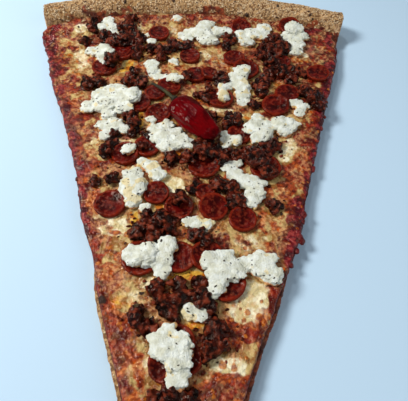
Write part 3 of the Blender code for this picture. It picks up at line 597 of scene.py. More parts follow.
class Sculpt:
    """A closed mesh whose points are moved and masked as arrays."""

    def __init__(self, name: str, bm: BMesh, voxel: Optional[float] = None) -> None:
        """Takes a bmesh, frees it, and evens its skin out.

        Args:
            name: The piece's name.
            bm: Closed shapes, which may overlap.
            voxel: Fineness of the new skin, or None to keep the mesh as it is.
        """
        self.piece = stand(name, mesh_of(bm, name))
        if voxel:
            skin = self.piece.modifiers.new("skin", "REMESH")
            skin.mode = "VOXEL"
            skin.voxel_size = voxel
            self.apply()
        self.piece.data.shade_smooth()
        self.read()

    def apply(self) -> None:
        """Makes the mesh what its modifiers give."""
        graph = bpy.context.evaluated_depsgraph_get()
        fresh = bpy.data.meshes.new_from_object(self.piece.evaluated_get(graph))
        self.piece.modifiers.clear()
        old, self.piece.data = self.piece.data, fresh
        bpy.data.meshes.remove(old)
        fresh.name = self.piece.name

    def read(self) -> None:
        """Reads the points and normals of the mesh."""
        mesh = self.piece.data
        self.points, self.normals = np.empty((2, len(mesh.vertices), 3))
        mesh.vertices.foreach_get("co", self.points.ravel())
        mesh.vertex_normals.foreach_get("vector", self.normals.ravel())

    def write(self) -> None:
        """Writes the points to the mesh and takes its new normals."""
        self.piece.data.vertices.foreach_set("co", self.points.ravel())
        self.piece.data.update()
        self.read()

    def push(self, offsets: Array) -> None:
        """Moves every point along its normal."""
        self.points += self.normals * offsets[:, None]
        self.write()

    def soften(self, times: int, factor: float = 0.5) -> None:
        """Smooths the surface.

        Args:
            times: How often.
            factor: How far each point moves to its neighbours' middle.
        """
        bm = bmesh.new()
        bm.from_mesh(self.piece.data)
        for _ in range(times):
            bmesh.ops.smooth_vert(
                bm, verts=bm.verts, factor=factor, use_axis_x=True, use_axis_y=True, use_axis_z=True
            )
        bm.to_mesh(self.piece.data)
        bm.free()
        self.read()

    def cloud(self, size: float, seed: float = 0.0) -> Array:
        """Noise at every point, with features of a size in millimetres."""
        return cloud(self.points, size * MM, seed)

    def blend(self, *layers: Noise) -> Array:
        """Noise at every point, as a sum of layers of strength, size and seed."""
        return sum(strength * self.cloud(size, seed) for strength, size, seed in layers)

    def ridge(self, size: float, seed: float = 0.0) -> Array:
        """Noise with sharp crests at every point, about -1 to 1."""
        return 0.55 - 2.2 * np.abs(self.cloud(size, seed))

    def reach(self) -> Array:
        """Distance of every point from the tip, seen from above."""
        return np.hypot(self.points[:, 0], self.points[:, 1] + PLAN.length / 2)

    def by_side(self, left: float, right: float) -> Array:
        """One value for the points on the left of the slice, and another on its right."""
        return np.where(self.points[:, 0] > 0.0, right, left)

    def places(
        self, bend: float = 0.0, size: float = 1.0, seeds: tuple[float, float] = (0.0, 0.0)
    ) -> tuple[Array, Array]:
        """Where the points lie in millimetres, bent by noise.

        Args:
            bend: How far they are bent.
            size: Breadth of the bends.
            seeds: Seeds of the noise across and along.

        Returns:
            Places across and along.
        """
        x, y = self.points[:, 0] / MM, (self.points[:, 1] + PLAN.length / 2) / MM
        if bend:
            x, y = x + bend * self.cloud(size, seeds[0]), y + bend * self.cloud(size, seeds[1])
        return x, y

    def mask(self, name: str, values: Array) -> None:
        """Keeps a value for every point, which the finish reads by name."""
        layer = self.piece.data.attributes.new(name, "FLOAT", "POINT")
        layer.data.foreach_set("value", np.clip(values, 0.0, 1.0).astype(np.float32))

    def dress(self, finish: Material, slot: str, *nodes: str) -> bpy.types.Object:
        """Gives the piece its finish and its place in the frame.

        Args:
            finish: The material.
            slot: Not used.
            nodes: The solids that it stands for.

        Returns:
            The finished object.
        """
        self.piece.data.materials.clear()
        self.piece.data.materials.append(finish)
        if nodes:
            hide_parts(*nodes)
        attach(self.piece, BODY)
        LOG.info("%s: %d faces", self.piece.name, len(self.piece.data.polygons))
        return self.piece


class Tree:
    """A node tree under construction."""

    def __init__(self, tree: NodeTree) -> None:
        """Wraps a node tree."""
        self.tree = tree

    def feed(self, node: Node, inputs: dict[Union[str, int], Any]) -> Node:
        """Links or sets sockets of a node.

        Args:
            node: The node.
            inputs: What feeds its sockets, by name or number.

        Returns:
            The node.
        """
        for key, value in inputs.items():
            if isinstance(value, Socket):
                self.tree.links.new(value, node.inputs[key])
            else:
                node.inputs[key].default_value = value
        return node

    def node(
        self, kind: str, inputs: Optional[dict[Union[str, int], Any]] = None, **settings: Any
    ) -> Node:
        """Adds a node.

        Args:
            kind: Its type.
            inputs: What feeds its sockets, by name or number.
            settings: Its own properties.

        Returns:
            The node.
        """
        made = self.tree.nodes.new(kind)
        for key, value in settings.items():
            setattr(made, key, value)
        return self.feed(made, inputs or {})

    def ramp(self, value: Feed, low: Feed, high: Feed, start: Feed = 0.0, end: Feed = 1.0) -> Socket:
        """A smooth step between two values.

        Args:
            value: What is stepped.
            low: Where it starts.
            high: Where it ends.
            start: The result at low.
            end: The result at high.

        Returns:
            The stepped value.
        """
        feeds = {"Value": value, "From Min": low, "From Max": high, "To Min": start, "To Max": end}
        made = self.node("ShaderNodeMapRange", feeds, interpolation_type="SMOOTHSTEP")
        return made.outputs["Result"]

    def sum(self, operation: str, first: Feed, second: Feed) -> Socket:
        """One step of arithmetic."""
        return self.node("ShaderNodeMath", {0: first, 1: second}, operation=operation).outputs[0]

    def shift(
        self, operation: str, first: Feed, second: Feed, socket: Union[str, int] = 1
    ) -> Socket:
        """One step of arithmetic on vectors.

        Args:
            operation: Which one.
            first: The vector.
            second: What it is combined with.
            socket: The socket that the second value feeds.

        Returns:
            The vector that results.
        """
        feeds = {0: first, socket: second}
        return self.node("ShaderNodeVectorMath", feeds, operation=operation).outputs[0]

    def group(self, group: NodeTree, output: str, **inputs: Feed) -> Socket:
        """Places a shared group.

        Args:
            group: The node group.
            output: Which of its outputs is wanted.
            inputs: What feeds its sockets.

        Returns:
            That output.
        """
        made = self.node("ShaderNodeGroup", node_tree=group)
        return self.feed(made, inputs).outputs[output]


class Effects:
    """Shader groups that several finishes share."""

    edge: tuple[float, float] = (0.36, 0.64)
    web_noise: float = 210.0

    def __init__(self) -> None:
        """Builds the groups once."""
        self.mottle = self._mottle()
        self.flecks = self._flecks()
        self.ragged = self._ragged()
        self.web = self._web()

    @staticmethod
    def _start(name: str, inputs: Iterable[str], outputs: Iterable[str]) -> tuple[Tree, Any, Any, Socket]:
        """An empty group.

        Args:
            name: Its name.
            inputs: Names of its inputs.
            outputs: Names of its outputs.

        Returns:
            Its tree, what comes in, what goes out, and the place on the object.
        """
        group = bpy.data.node_groups.new(name, "ShaderNodeTree")
        for way, names in (("INPUT", inputs), ("OUTPUT", outputs)):
            for socket in names:
                group.interface.new_socket(socket, in_out=way, socket_type="NodeSocketFloat")
        tree = Tree(group)
        given, result = tree.node("NodeGroupInput"), tree.node("NodeGroupOutput")
        return tree, given.outputs, result, tree.node("ShaderNodeTexCoord").outputs["Object"]

    def _mottle(self) -> NodeTree:
        """Cloudy patches, as a mask between two levels and as plain values.

        Returns:
            The group.
        """
        tree, given, result, where = self._start(
            "mottle", ("Scale", "Detail", "Low", "High"), ("Mask", "Value")
        )
        feeds = {"Vector": where, "Scale": given["Scale"], "Detail": given["Detail"]}
        value = tree.node("ShaderNodeTexNoise", feeds).outputs[0]
        tree.feed(result, {"Mask": tree.ramp(value, given["Low"], given["High"]), "Value": value})
        return tree.tree

    def _flecks(self) -> NodeTree:
        """Scattered round spots, of which only a share are kept.

        Returns:
            The group.
        """
        tree, given, result, where = self._start("flecks", ("Scale", "Size", "Share"), ("Mask",))
        cells = tree.node("ShaderNodeTexVoronoi", {"Vector": where, "Scale": given["Scale"]})
        luck = tree.node("ShaderNodeSeparateColor", {"Color": cells.outputs["Color"]})
        chosen = tree.sum("LESS_THAN", luck.outputs["Red"], given["Share"])
        size = tree.ramp(luck.outputs["Green"], 0.0, 1.0, 0.5, 1.3)
        size = tree.sum("MULTIPLY", size, given["Size"])
        near = tree.ramp(cells.outputs["Distance"], tree.sum("MULTIPLY", size, 0.6), size, 1.0, 0.0)
        tree.feed(result, {"Mask": tree.sum("MULTIPLY", near, chosen)})
        return tree.tree

    def _ragged(self) -> NodeTree:
        """Breaks the soft edge of a mask up with noise.

        Returns:
            The group.
        """
        tree, given, result, where = self._start("ragged", ("Mask", "Scale", "Breakup"), ("Mask",))
        feeds = {"Vector": where, "Scale": given["Scale"], "Detail": 3.0}
        value = tree.sum("SUBTRACT", tree.node("ShaderNodeTexNoise", feeds).outputs[0], 0.5)
        moved = tree.sum("ADD", given["Mask"], tree.sum("MULTIPLY", value, given["Breakup"]))
        tree.feed(result, {"Mask": tree.ramp(moved, *self.edge)})
        return tree.tree

    def _web(self) -> NodeTree:
        """Strings with pits between them, as a mask of the pits.

        Returns:
            The group.
        """
        tree, given, result, where = self._start("web", ("Scale", "Bend", "Width"), ("Pits",))
        feeds = {"Vector": where, "Scale": self.web_noise, "Detail": 3.0}
        noisy = tree.node("ShaderNodeTexNoise", feeds).outputs["Color"]
        centred = tree.shift("SUBTRACT", noisy, (0.5, 0.5, 0.5))
        moved = tree.shift("ADD", where, tree.shift("SCALE", centred, given["Bend"], "Scale"))
        feeds = {"Vector": moved, "Scale": given["Scale"]}
        cells = tree.node("ShaderNodeTexVoronoi", feeds, feature="DISTANCE_TO_EDGE")
        inner = tree.sum("MULTIPLY", given["Width"], 0.3)
        tree.feed(result, {"Pits": tree.ramp(cells.outputs["Distance"], inner, given["Width"])})
        return tree.tree


class Paint(Tree):
    """A material under construction, with the shared effects at hand."""

    def __init__(self, material: Material, effects: Effects) -> None:
        """Wraps a material whose constant values are set."""
        super().__init__(material.node_tree)
        self.material, self.effects = material, effects

    def mix(self, factor: Feed, first: Shade, second: Shade) -> Socket:
        """Blends two colours.

        Args:
            factor: How much of the second there is.
            first: A colour, or its screen values.
            second: The other one.

        Returns:
            The blend.
        """
        first, second = (c if isinstance(c, Socket) else tint(*c) for c in (first, second))
        feeds = {0: factor, 6: first, 7: second}
        return self.node("ShaderNodeMix", feeds, data_type="RGBA").outputs[2]

    def over(self, colour: Socket, mask: Socket, strength: float, laid: Shade) -> Socket:
        """Lays a colour over another where a mask says, as strongly as asked."""
        return self.mix(self.sum("MULTIPLY", mask, strength), colour, laid)

    def fade(self, mask: Socket, start: Feed, end: Feed) -> Socket:
        """A value that goes smoothly from start to end as a mask goes from 0 to 1."""
        return self.ramp(mask, 0.0, 1.0, start, end)

    def mask(self, name: str) -> Socket:
        """A value kept on the piece's points."""
        return self.node("ShaderNodeAttribute", attribute_name=name).outputs["Fac"]

    def worn(self, name: str, scale: float, breakup: float) -> Socket:
        """A mask kept on the piece's points, broken up by noise."""
        feeds = {"Mask": self.mask(name), "Scale": scale, "Breakup": breakup}
        return self.group(self.effects.ragged, "Mask", **feeds)

    def mottle(self, scale: float, detail: float, low: float, high: float) -> Socket:
        """Cloudy patches, as a mask between two levels of noise."""
        feeds = {"Scale": scale, "Detail": detail, "Low": low, "High": high}
        return self.group(self.effects.mottle, "Mask", **feeds)

    def flecks(self, scale: float, size: float, share: float) -> Socket:
        """Scattered spots, of which a share are kept."""
        return self.group(self.effects.flecks, "Mask", Scale=scale, Size=size, Share=share)

    def grain(self, scale: float, detail: float) -> Socket:
        """Fine noise as plain values, for relief."""
        return self.group(self.effects.mottle, "Value", Scale=scale, Detail=detail)

    def finish(
        self, colour: Socket, relief: Socket, depth: float, rough: Optional[Socket] = None
    ) -> Material:
        """Connects what has been painted to the shader.

        Args:
            colour: The colour.
            relief: The height of the fine relief.
            depth: How deep the relief is.
            rough: The roughness, or None where it is the same all over.

        Returns:
            The material.
        """
        bump = self.node("ShaderNodeBump", {"Height": relief, "Distance": depth})
        feeds = {"Base Color": colour, "Normal": bump.outputs["Normal"]}
        if rough is not None:
            feeds["Roughness"] = rough
        self.feed(self.tree.nodes["Principled BSDF"], feeds)
        return self.material


@dataclass(frozen=True)
class Finish:
    """A procedural finish with the settings that all finishes share."""

    effects: Effects
    name: str
    roughness: float = 0.5
    scatter: float = 0.0
    scatter_radius: Place = (1.0, 0.5, 0.3)
    scatter_scale: float = 1.5 * MM
    specular: float = 0.5
    sheen_tint: Colour = (1.0, 0.86, 0.72, 1.0)

    def start(self) -> Paint:
        """A new material with its constant values set on the shader.

        Returns:
            The material, ready to paint.
        """
        made = bpy.data.materials.new(self.name)
        made.use_nodes = True
        paint = Paint(made, self.effects)
        paint.feed(made.node_tree.nodes["Principled BSDF"], {
            "Roughness": self.roughness,
            "Subsurface Weight": self.scatter,
            "Subsurface Radius": self.scatter_radius,
            "Subsurface Scale": self.scatter_scale,
            "Specular IOR Level": self.specular,
            "Specular Tint": self.sheen_tint,
        })
        return paint


@dataclass(frozen=True)
class CrustFinish(Finish):
    """Dry baked dough: floury tan with grains and specks, paler crumb where it is cut."""

    name: str = "baked_dough"
    roughness: float = 0.85
    stained_roughness: float = 0.4
    specular: float = 0.25

    def build(self) -> Material:
        """Paints the material.

        Returns:
            The finished material.
        """
        paint = self.start()
        broad = paint.mottle(scale=70, detail=4, low=0.35, high=0.65)
        fine = paint.mottle(scale=520, detail=4, low=0.43, high=0.56)
        colour = paint.mix(broad, (170, 130, 84), (200, 162, 116))
        colour = paint.mix(fine, paint.mix(0.8, colour, (92, 54, 28)), colour)
        grains = paint.flecks(scale=520, size=0.45, share=0.5)
        colour = paint.over(colour, grains, 0.8, (240, 214, 172))
        specks = paint.flecks(scale=260, size=0.32, share=0.3)
        colour = paint.over(colour, specks, 0.75, (82, 46, 26))
        inside = paint.mix(fine, (168, 128, 96), (206, 172, 136))
        colour = paint.over(colour, paint.mask("crumb"), 0.85, inside)
        stained = paint.worn("stain", scale=260, breakup=1.5)
        baked = paint.mottle(scale=170, detail=5, low=0.44, high=0.6)
        colour = paint.over(colour, stained, 0.94, paint.mix(baked, (72, 10, 9), (148, 62, 30)))
        colour = paint.mix(paint.worn("char", scale=420, breakup=1.1), colour, (44, 26, 18))
        scorched = paint.flecks(scale=95, size=0.4, share=0.35)
        toasted = paint.mix(broad, (122, 78, 44), (186, 142, 98))
        toasted = paint.over(toasted, scorched, 0.75, (62, 36, 22))
        colour = paint.mix(paint.mask("under"), colour, toasted)
        rough = paint.fade(stained, self.roughness, self.stained_roughness)
        relief = paint.sum("ADD", paint.grain(scale=620, detail=4), grains)
        return paint.finish(colour, relief, 0.9 * MM, rough)


@dataclass(frozen=True)
class SauceFinish(Finish):
    """Wet tomato sauce, dark where it has dried at the edge."""

    name: str = "tomato_sauce"
    roughness: float = 0.3
    specular: float = 0.4
    wet_roughness: float = 0.22
    dry_roughness: float = 0.5

    def build(self) -> Material:
        """Paints the material.

        Returns:
            The finished material.
        """
        paint = self.start()
        broad = paint.mottle(scale=160, detail=4, low=0.36, high=0.64)
        fine = paint.mottle(scale=700, detail=3, low=0.35, high=0.65)
        colour = paint.mix(broad, (52, 3, 10), (100, 12, 20))
        colour = paint.over(colour, fine, 0.3, (140, 46, 40))
        rough = paint.fade(broad, self.wet_roughness, self.dry_roughness)
        return paint.finish(colour, paint.grain(scale=500, detail=4), 0.5 * MM, rough)


@dataclass(frozen=True)
class CheeseFinish(Finish):
    """Melted cheese: cream pools, sauce showing through, toasted blisters, oil and char."""

    name: str = "melted_cheese"
    roughness: float = 0.4
    scatter: float = 0.04
    specular: float = 0.34
    sauce_roughness: float = 0.12
    char_roughness: float = 0.55

    def build(self) -> Material:
        """Paints the material.

        Returns:
            The finished material.
        """
        paint = self.start()
        fine = paint.mottle(scale=430, detail=3, low=0.42, high=0.58)
        middle = paint.mottle(scale=190, detail=4, low=0.42, high=0.58)
        broad = paint.mottle(scale=85, detail=4, low=0.4, high=0.6)
        pits = paint.group(self.effects.web, "Pits", Scale=215, Bend=0.007, Width=0.3)
        colour = paint.mix(middle, (146, 96, 46), (198, 170, 108))
        veil = paint.worn("pink", scale=150, breakup=1.6)
        colour = paint.over(colour, veil, 0.85, paint.mix(fine, (98, 24, 10), (168, 90, 44)))
        pool = paint.worn("pool", scale=200, breakup=0.9)
        colour = paint.over(colour, pool, 0.9, paint.mix(middle, (220, 202, 148), (247, 240, 206)))
        toast = paint.worn("toast", scale=150, breakup=1.2)
        deep = paint.mix(fine, (98, 18, 4), (158, 50, 6))
        golden = paint.mix(fine, (150, 50, 2), (204, 92, 10))
        colour = paint.over(colour, toast, 0.94, paint.mix(broad, deep, golden))
        red = paint.worn("red", scale=150, breakup=1.2)
        sauce = paint.mix(fine, (110, 13, 6), (150, 40, 16))
        colour = paint.over(colour, red, 0.94, paint.mix(middle, (72, 4, 6), sauce))
        spots = paint.flecks(scale=260, size=0.38, share=0.5)
        spots = paint.sum("MULTIPLY", spots, paint.fade(broad, 0.25, 0.95))
        colour = paint.mix(spots, colour, paint.mix(fine, (128, 48, 8), (182, 98, 28)))
        colour = paint.mix(self.strings(paint, pits, fine, broad), colour, (208, 164, 112))
        edge = paint.worn("edge", scale=190, breakup=1.2)
        dried = paint.mix(fine, (102, 10, 24), (150, 52, 50))
        colour = paint.over(colour, edge, 0.94, paint.mix(middle, (58, 2, 14), dried))
        oil = paint.worn("oil", scale=150, breakup=1.0)
        colour = paint.over(colour, oil, 0.8, paint.mix(middle, (200, 104, 4), (228, 170, 40)))
        blister = paint.ramp(paint.mask("blister"), 0.25, 0.85)
        colour = paint.over(colour, blister, 0.85, paint.mix(fine, (140, 56, 8), (190, 108, 32)))
        char = paint.worn("char", scale=420, breakup=1.4)
        colour = paint.mix(char, colour, (36, 12, 8))
        rough = paint.fade(edge, paint.fade(middle, 0.1, 0.3), self.sauce_roughness)
        rough = paint.fade(char, rough, self.char_roughness)
        relief = paint.sum("MULTIPLY", pits, 0.3)
        relief = paint.sum("SUBTRACT", paint.grain(scale=420, detail=4), relief)
        return paint.finish(colour, relief, 1.1 * MM, rough)

    @staticmethod
    def strings(paint: Paint, pits: Socket, fine: Socket, broad: Socket) -> Socket:
        """Pale strings between the pits, fewer where the cheese is bare or broadly toasted.

        Args:
            paint: The material.
            pits: Mask of the pits.
            fine: Fine mottling.
            broad: Broad mottling.

        Returns:
            Mask of the strings.
        """
        found = paint.sum("SUBTRACT", 1.0, pits)
        found = paint.sum("MULTIPLY", found, paint.fade(paint.mask("bare"), 1.0, 0.3))
        found = paint.sum("MULTIPLY", found, paint.fade(fine, 0.2, 0.8))
        return paint.sum("MULTIPLY", found, paint.fade(broad, 0.05, 0.75))


@dataclass(frozen=True)
class RicottaFinish(Finish):
    """Soft white curd, stained at its foot and toasted on its tips."""

    name: str = "ricotta"
    scatter: float = 0.15
    scatter_radius: Place = (1.0, 0.9, 0.7)
    specular: float = 0.3

    def build(self) -> Material:
        """Paints the material.

        Returns:
            The finished material.
        """
        paint = self.start()
        middle = paint.mottle(scale=240, detail=4, low=0.38, high=0.66)
        colour = paint.mix(middle, (208, 209, 190), (230, 234, 225))
        stain = paint.worn("stain", scale=320, breakup=1.1)
        colour = paint.over(colour, stain, 0.85, paint.mix(middle, (206, 112, 34), (236, 196, 112)))
        colour = paint.over(colour, paint.worn("toast", scale=420, breakup=1.2), 0.6, (222, 196, 124))
        pepper = paint.flecks(scale=380, size=0.24, share=0.16)
        colour = paint.over(colour, pepper, 0.85, (64, 50, 36))
        return paint.finish(colour, paint.grain(scale=900, detail=4), 0.8 * MM)


@dataclass(frozen=True)
class CrumbFinish(Finish):
    """Craggy fried sausage, dark brown and oily, with painted shade in its hollows and painted
    highlights.
    """

    name: str = "crumbled_sausage"
    roughness: float = 0.4
    specular: float = 0.18
    oily_roughness: float = 0.16
    dry_roughness: float = 0.45

    def build(self) -> Material:
        """Paints the material.

        Returns:
            The finished material.
        """
        paint = self.start()
        broad = paint.mottle(scale=130, detail=3, low=0.4, high=0.6)
        fine = paint.mottle(scale=300, detail=5, low=0.48, high=0.62)
        colour = paint.mix(broad, (34, 5, 3), (80, 24, 12))
        # Painted highlights: lighter brown patches scattered by noise.
        colour = paint.over(colour, fine, 0.75, (132, 52, 28))
        # Painted shade: near-black where the relief sinks into hollows.
        colour = paint.mix(paint.mask("hollow_shade"), colour, (8, 1, 1))
        rough = paint.fade(fine, self.oily_roughness, self.dry_roughness)
        return paint.finish(colour, paint.grain(scale=360, detail=5), 1.2 * MM, rough)


@dataclass(frozen=True)
class CoinFinish(Finish):
    """Cured sausage: dark oily red, mottled with fat, its rim brighter."""

    name: str = "sliced_sausage"
    roughness: float = 0.24
    specular: float = 0.14
    oily_roughness: float = 0.14
    dry_roughness: float = 0.3

    def build(self) -> Material:
        """Paints the material.

        Returns:
            The finished material.
        """
        paint = self.start()
        broad = paint.mottle(scale=170, detail=3, low=0.38, high=0.62)
        fine = paint.mottle(scale=420, detail=4, low=0.46, high=0.6)
        colour = paint.mix(broad, (48, 3, 4), (88, 10, 8))
        colour = paint.over(colour, fine, 0.4, (132, 44, 22))
        colour = paint.over(colour, paint.worn("rim", scale=220, breakup=1.3), 0.55, (130, 36, 14))
        fat = paint.flecks(scale=300, size=0.35, share=0.22)
        colour = paint.over(colour, fat, 0.4, (158, 76, 50))
        charred = paint.mottle(scale=120, detail=4, low=0.54, high=0.66)
        colour = paint.over(colour, charred, 0.55, (26, 4, 4))
        rough = paint.fade(fine, self.oily_roughness, self.dry_roughness)
        return paint.finish(colour, paint.grain(scale=260, detail=4), 0.9 * MM, rough)


@dataclass(frozen=True)
class ChiliFinish(Finish):
    """Shiny red skin, with painted highlights and painted shade in its creases."""

    name: str = "chili_skin"
    roughness: float = 0.08
    specular: float = 0.07

    def build(self) -> Material:
        """Paints the material.

        Returns:
            The finished material.
        """
        paint = self.start()
        broad = paint.mottle(scale=90, detail=3, low=0.38, high=0.62)
        fine = paint.mottle(scale=420, detail=4, low=0.45, high=0.66)
        colour = paint.mix(broad, (64, 0, 3), (100, 1, 5))
        # Painted highlights: lighter red patches scattered by noise.
        colour = paint.over(colour, fine, 0.2, (124, 6, 16))
        # Painted shade: dark red in the deep creases.
        colour = paint.mix(paint.mask("fold"), colour, (36, 1, 4))
        return paint.finish(colour, paint.grain(scale=260, detail=3), 0.6 * MM)


@dataclass(frozen=True)
class PlainFinish(Finish):
    """Two shades in small patches: a dull stalk, or dry bits such as char, pepper and flour."""

    name: str = "flecks"
    dark: Place = (40, 26, 20)
    light: Place = (74, 44, 30)
    patches: float = 300.0
    relief: float = 1500.0
    relief_detail: float = 2.0
    relief_depth: float = 0.2 * MM
    roughness: float = 0.7

    def build(self) -> Material:
        """Paints the material.

        Returns:
            The finished material.
        """
        paint = self.start()
        broad = paint.mottle(scale=self.patches, detail=3, low=0.38, high=0.62)
        relief = paint.grain(scale=self.relief, detail=self.relief_detail)
        return paint.finish(paint.mix(broad, self.dark, self.light), relief, self.relief_depth)


@dataclass
class Wardrobe:
    """All the finishes of the slice."""

    effects: Effects = field(default_factory=Effects)

    def __post_init__(self) -> None:
        """Builds each finish once."""
        self.dough = CrustFinish(self.effects).build()
        self.sauce = SauceFinish(self.effects).build()
        self.cheese = CheeseFinish(self.effects).build()
        self.ricotta = RicottaFinish(self.effects).build()
        self.crumb = CrumbFinish(self.effects).build()
        self.coin = CoinFinish(self.effects).build()
        self.chili = ChiliFinish(self.effects).build()
        self.stalk = PlainFinish(
            self.effects, "chili_stalk", roughness=0.6, dark=(20, 22, 8), light=(58, 56, 22),
            patches=160.0, relief=900.0, relief_detail=3.0, relief_depth=0.3 * MM,
        ).build()
        self.char = PlainFinish(self.effects, "char_flecks").build()
        self.pepper = PlainFinish(
            self.effects, "pepper_flecks", dark=(22, 18, 16), light=(58, 44, 34)
        ).build()
        self.grain = PlainFinish(
            self.effects, "flour_grains", dark=(196, 158, 112), light=(228, 202, 164)
        ).build()


def ball(bm: BMesh, middle: Vector, radius: float, shape: Place, turn: float = 0.0) -> None:
    """Adds a squashed ball.

    Args:
        bm: Where it goes.
        middle: Its centre.
        radius: Its size.
        shape: How far it is stretched along each axis.
        turn: Its turn about the upright.
    """
    where = (
        Matrix.Translation(middle)
        @ Matrix.Rotation(turn, 4, "Z")
        @ Matrix.Diagonal((*(radius * side for side in shape), 1.0))
    )
    bmesh.ops.create_icosphere(bm, subdivisions=2, radius=1.0, matrix=where)


def chip(bm: BMesh, draw: random.Random, uneven: float) -> list[bmesh.types.BMVert]:
    """Adds a coarse ball with stray corners.

    Args:
        bm: Where it goes.
        draw: Its chance.
        uneven: How far its corners stray.

    Returns:
        Its corners.
    """
    corners = bmesh.ops.create_icosphere(bm, subdivisions=1, radius=1.0)["verts"]
    for vert in corners:
        vert.co *= 1 + draw.uniform(-uneven, uneven)
    return corners


def rock(
    bm: BMesh,
    middle: Vector,
    radius: float,
    shape: Place,
    draw: random.Random,
    uneven: float = ROCK_UNEVEN,
) -> None:
    """Adds an angular chunk.

    Args:
        bm: Where it goes.
        middle: Its centre.
        radius: Its size.
        shape: How far it is stretched along each axis.
        draw: Its chance.
        uneven: How far its corners stray.
    """
    chunk = chip(bm, draw, uneven)
    turned = Matrix.Rotation(draw.uniform(0.0, math.tau), 4, random_direction(draw, -1.0))
    where = (
        Matrix.Translation(middle)
        @ Matrix.Diagonal((*(radius * side * ROCK_SWELL for side in shape), 1.0))
        @ turned
    )
    bmesh.ops.transform(bm, matrix=where, verts=chunk)


def random_direction(draw: random.Random, lowest: float) -> Vector:
    """A direction on the ball.

    Args:
        draw: Its chance.
        lowest: Its least height, -1 to 1.

    Returns:
        A vector of length 1.
    """
    height = draw.uniform(lowest, 1.0)
    turn = draw.uniform(0.0, math.tau)
    flat = math.sqrt(max(0.0, 1 - height * height))
    return Vector((flat * math.cos(turn), flat * math.sin(turn), height))


def tilted(upright: Vector) -> Matrix:
    """The turn that brings a piece's own upright to another one."""
    return UP.rotation_difference(upright).to_matrix()


class Bed:
    """Heights of what has been laid so far, so that each coin and crumb rests on it."""

    coin_thick: float = 3.2 * MM
    stack: float = 0.85
    probes: int = 8
    probe_reach: float = 0.8

    def __init__(self) -> None:
        """Starts from bare cheese."""
        self.discs: list[tuple[Vector, float, float]] = []

    def height(self, where: Vector) -> float:
        """Height of the highest coin at a place, or else of the cheese.

        Args:
            where: The place.

        Returns:
            The height above the underside.
        """
        found = PLAN.cheese_height(where.x, where.y)
        for middle, radius, top in self.discs:
            if (where - middle).length < radius:
                found = max(found, top)
        return found

    def lay_disc(self, middle: Vector, radius: float) -> tuple[float, Vector]:
        """Adds a disc to the bed.

        Args:
            middle: Its place.
            radius: Its size.

        Returns:
            The height and slope of the surface under it.
        """
        away = radius * self.probe_reach
        turns = (math.tau * i / self.probes for i in range(self.probes))
        ring = [middle + away * Vector((math.cos(a), math.sin(a))) for a in turns]
        heights = [self.height(p) for p in ring]
        mean = sum(heights) / len(heights)
        slope = Vector((0.0, 0.0))
        for p, h in zip(ring, heights):
            slope += (p - middle) * (h - mean)
        slope *= 2 / (len(ring) * away ** 2)
        self.discs.append((middle, radius, mean + self.coin_thick * self.stack))
        return mean, slope


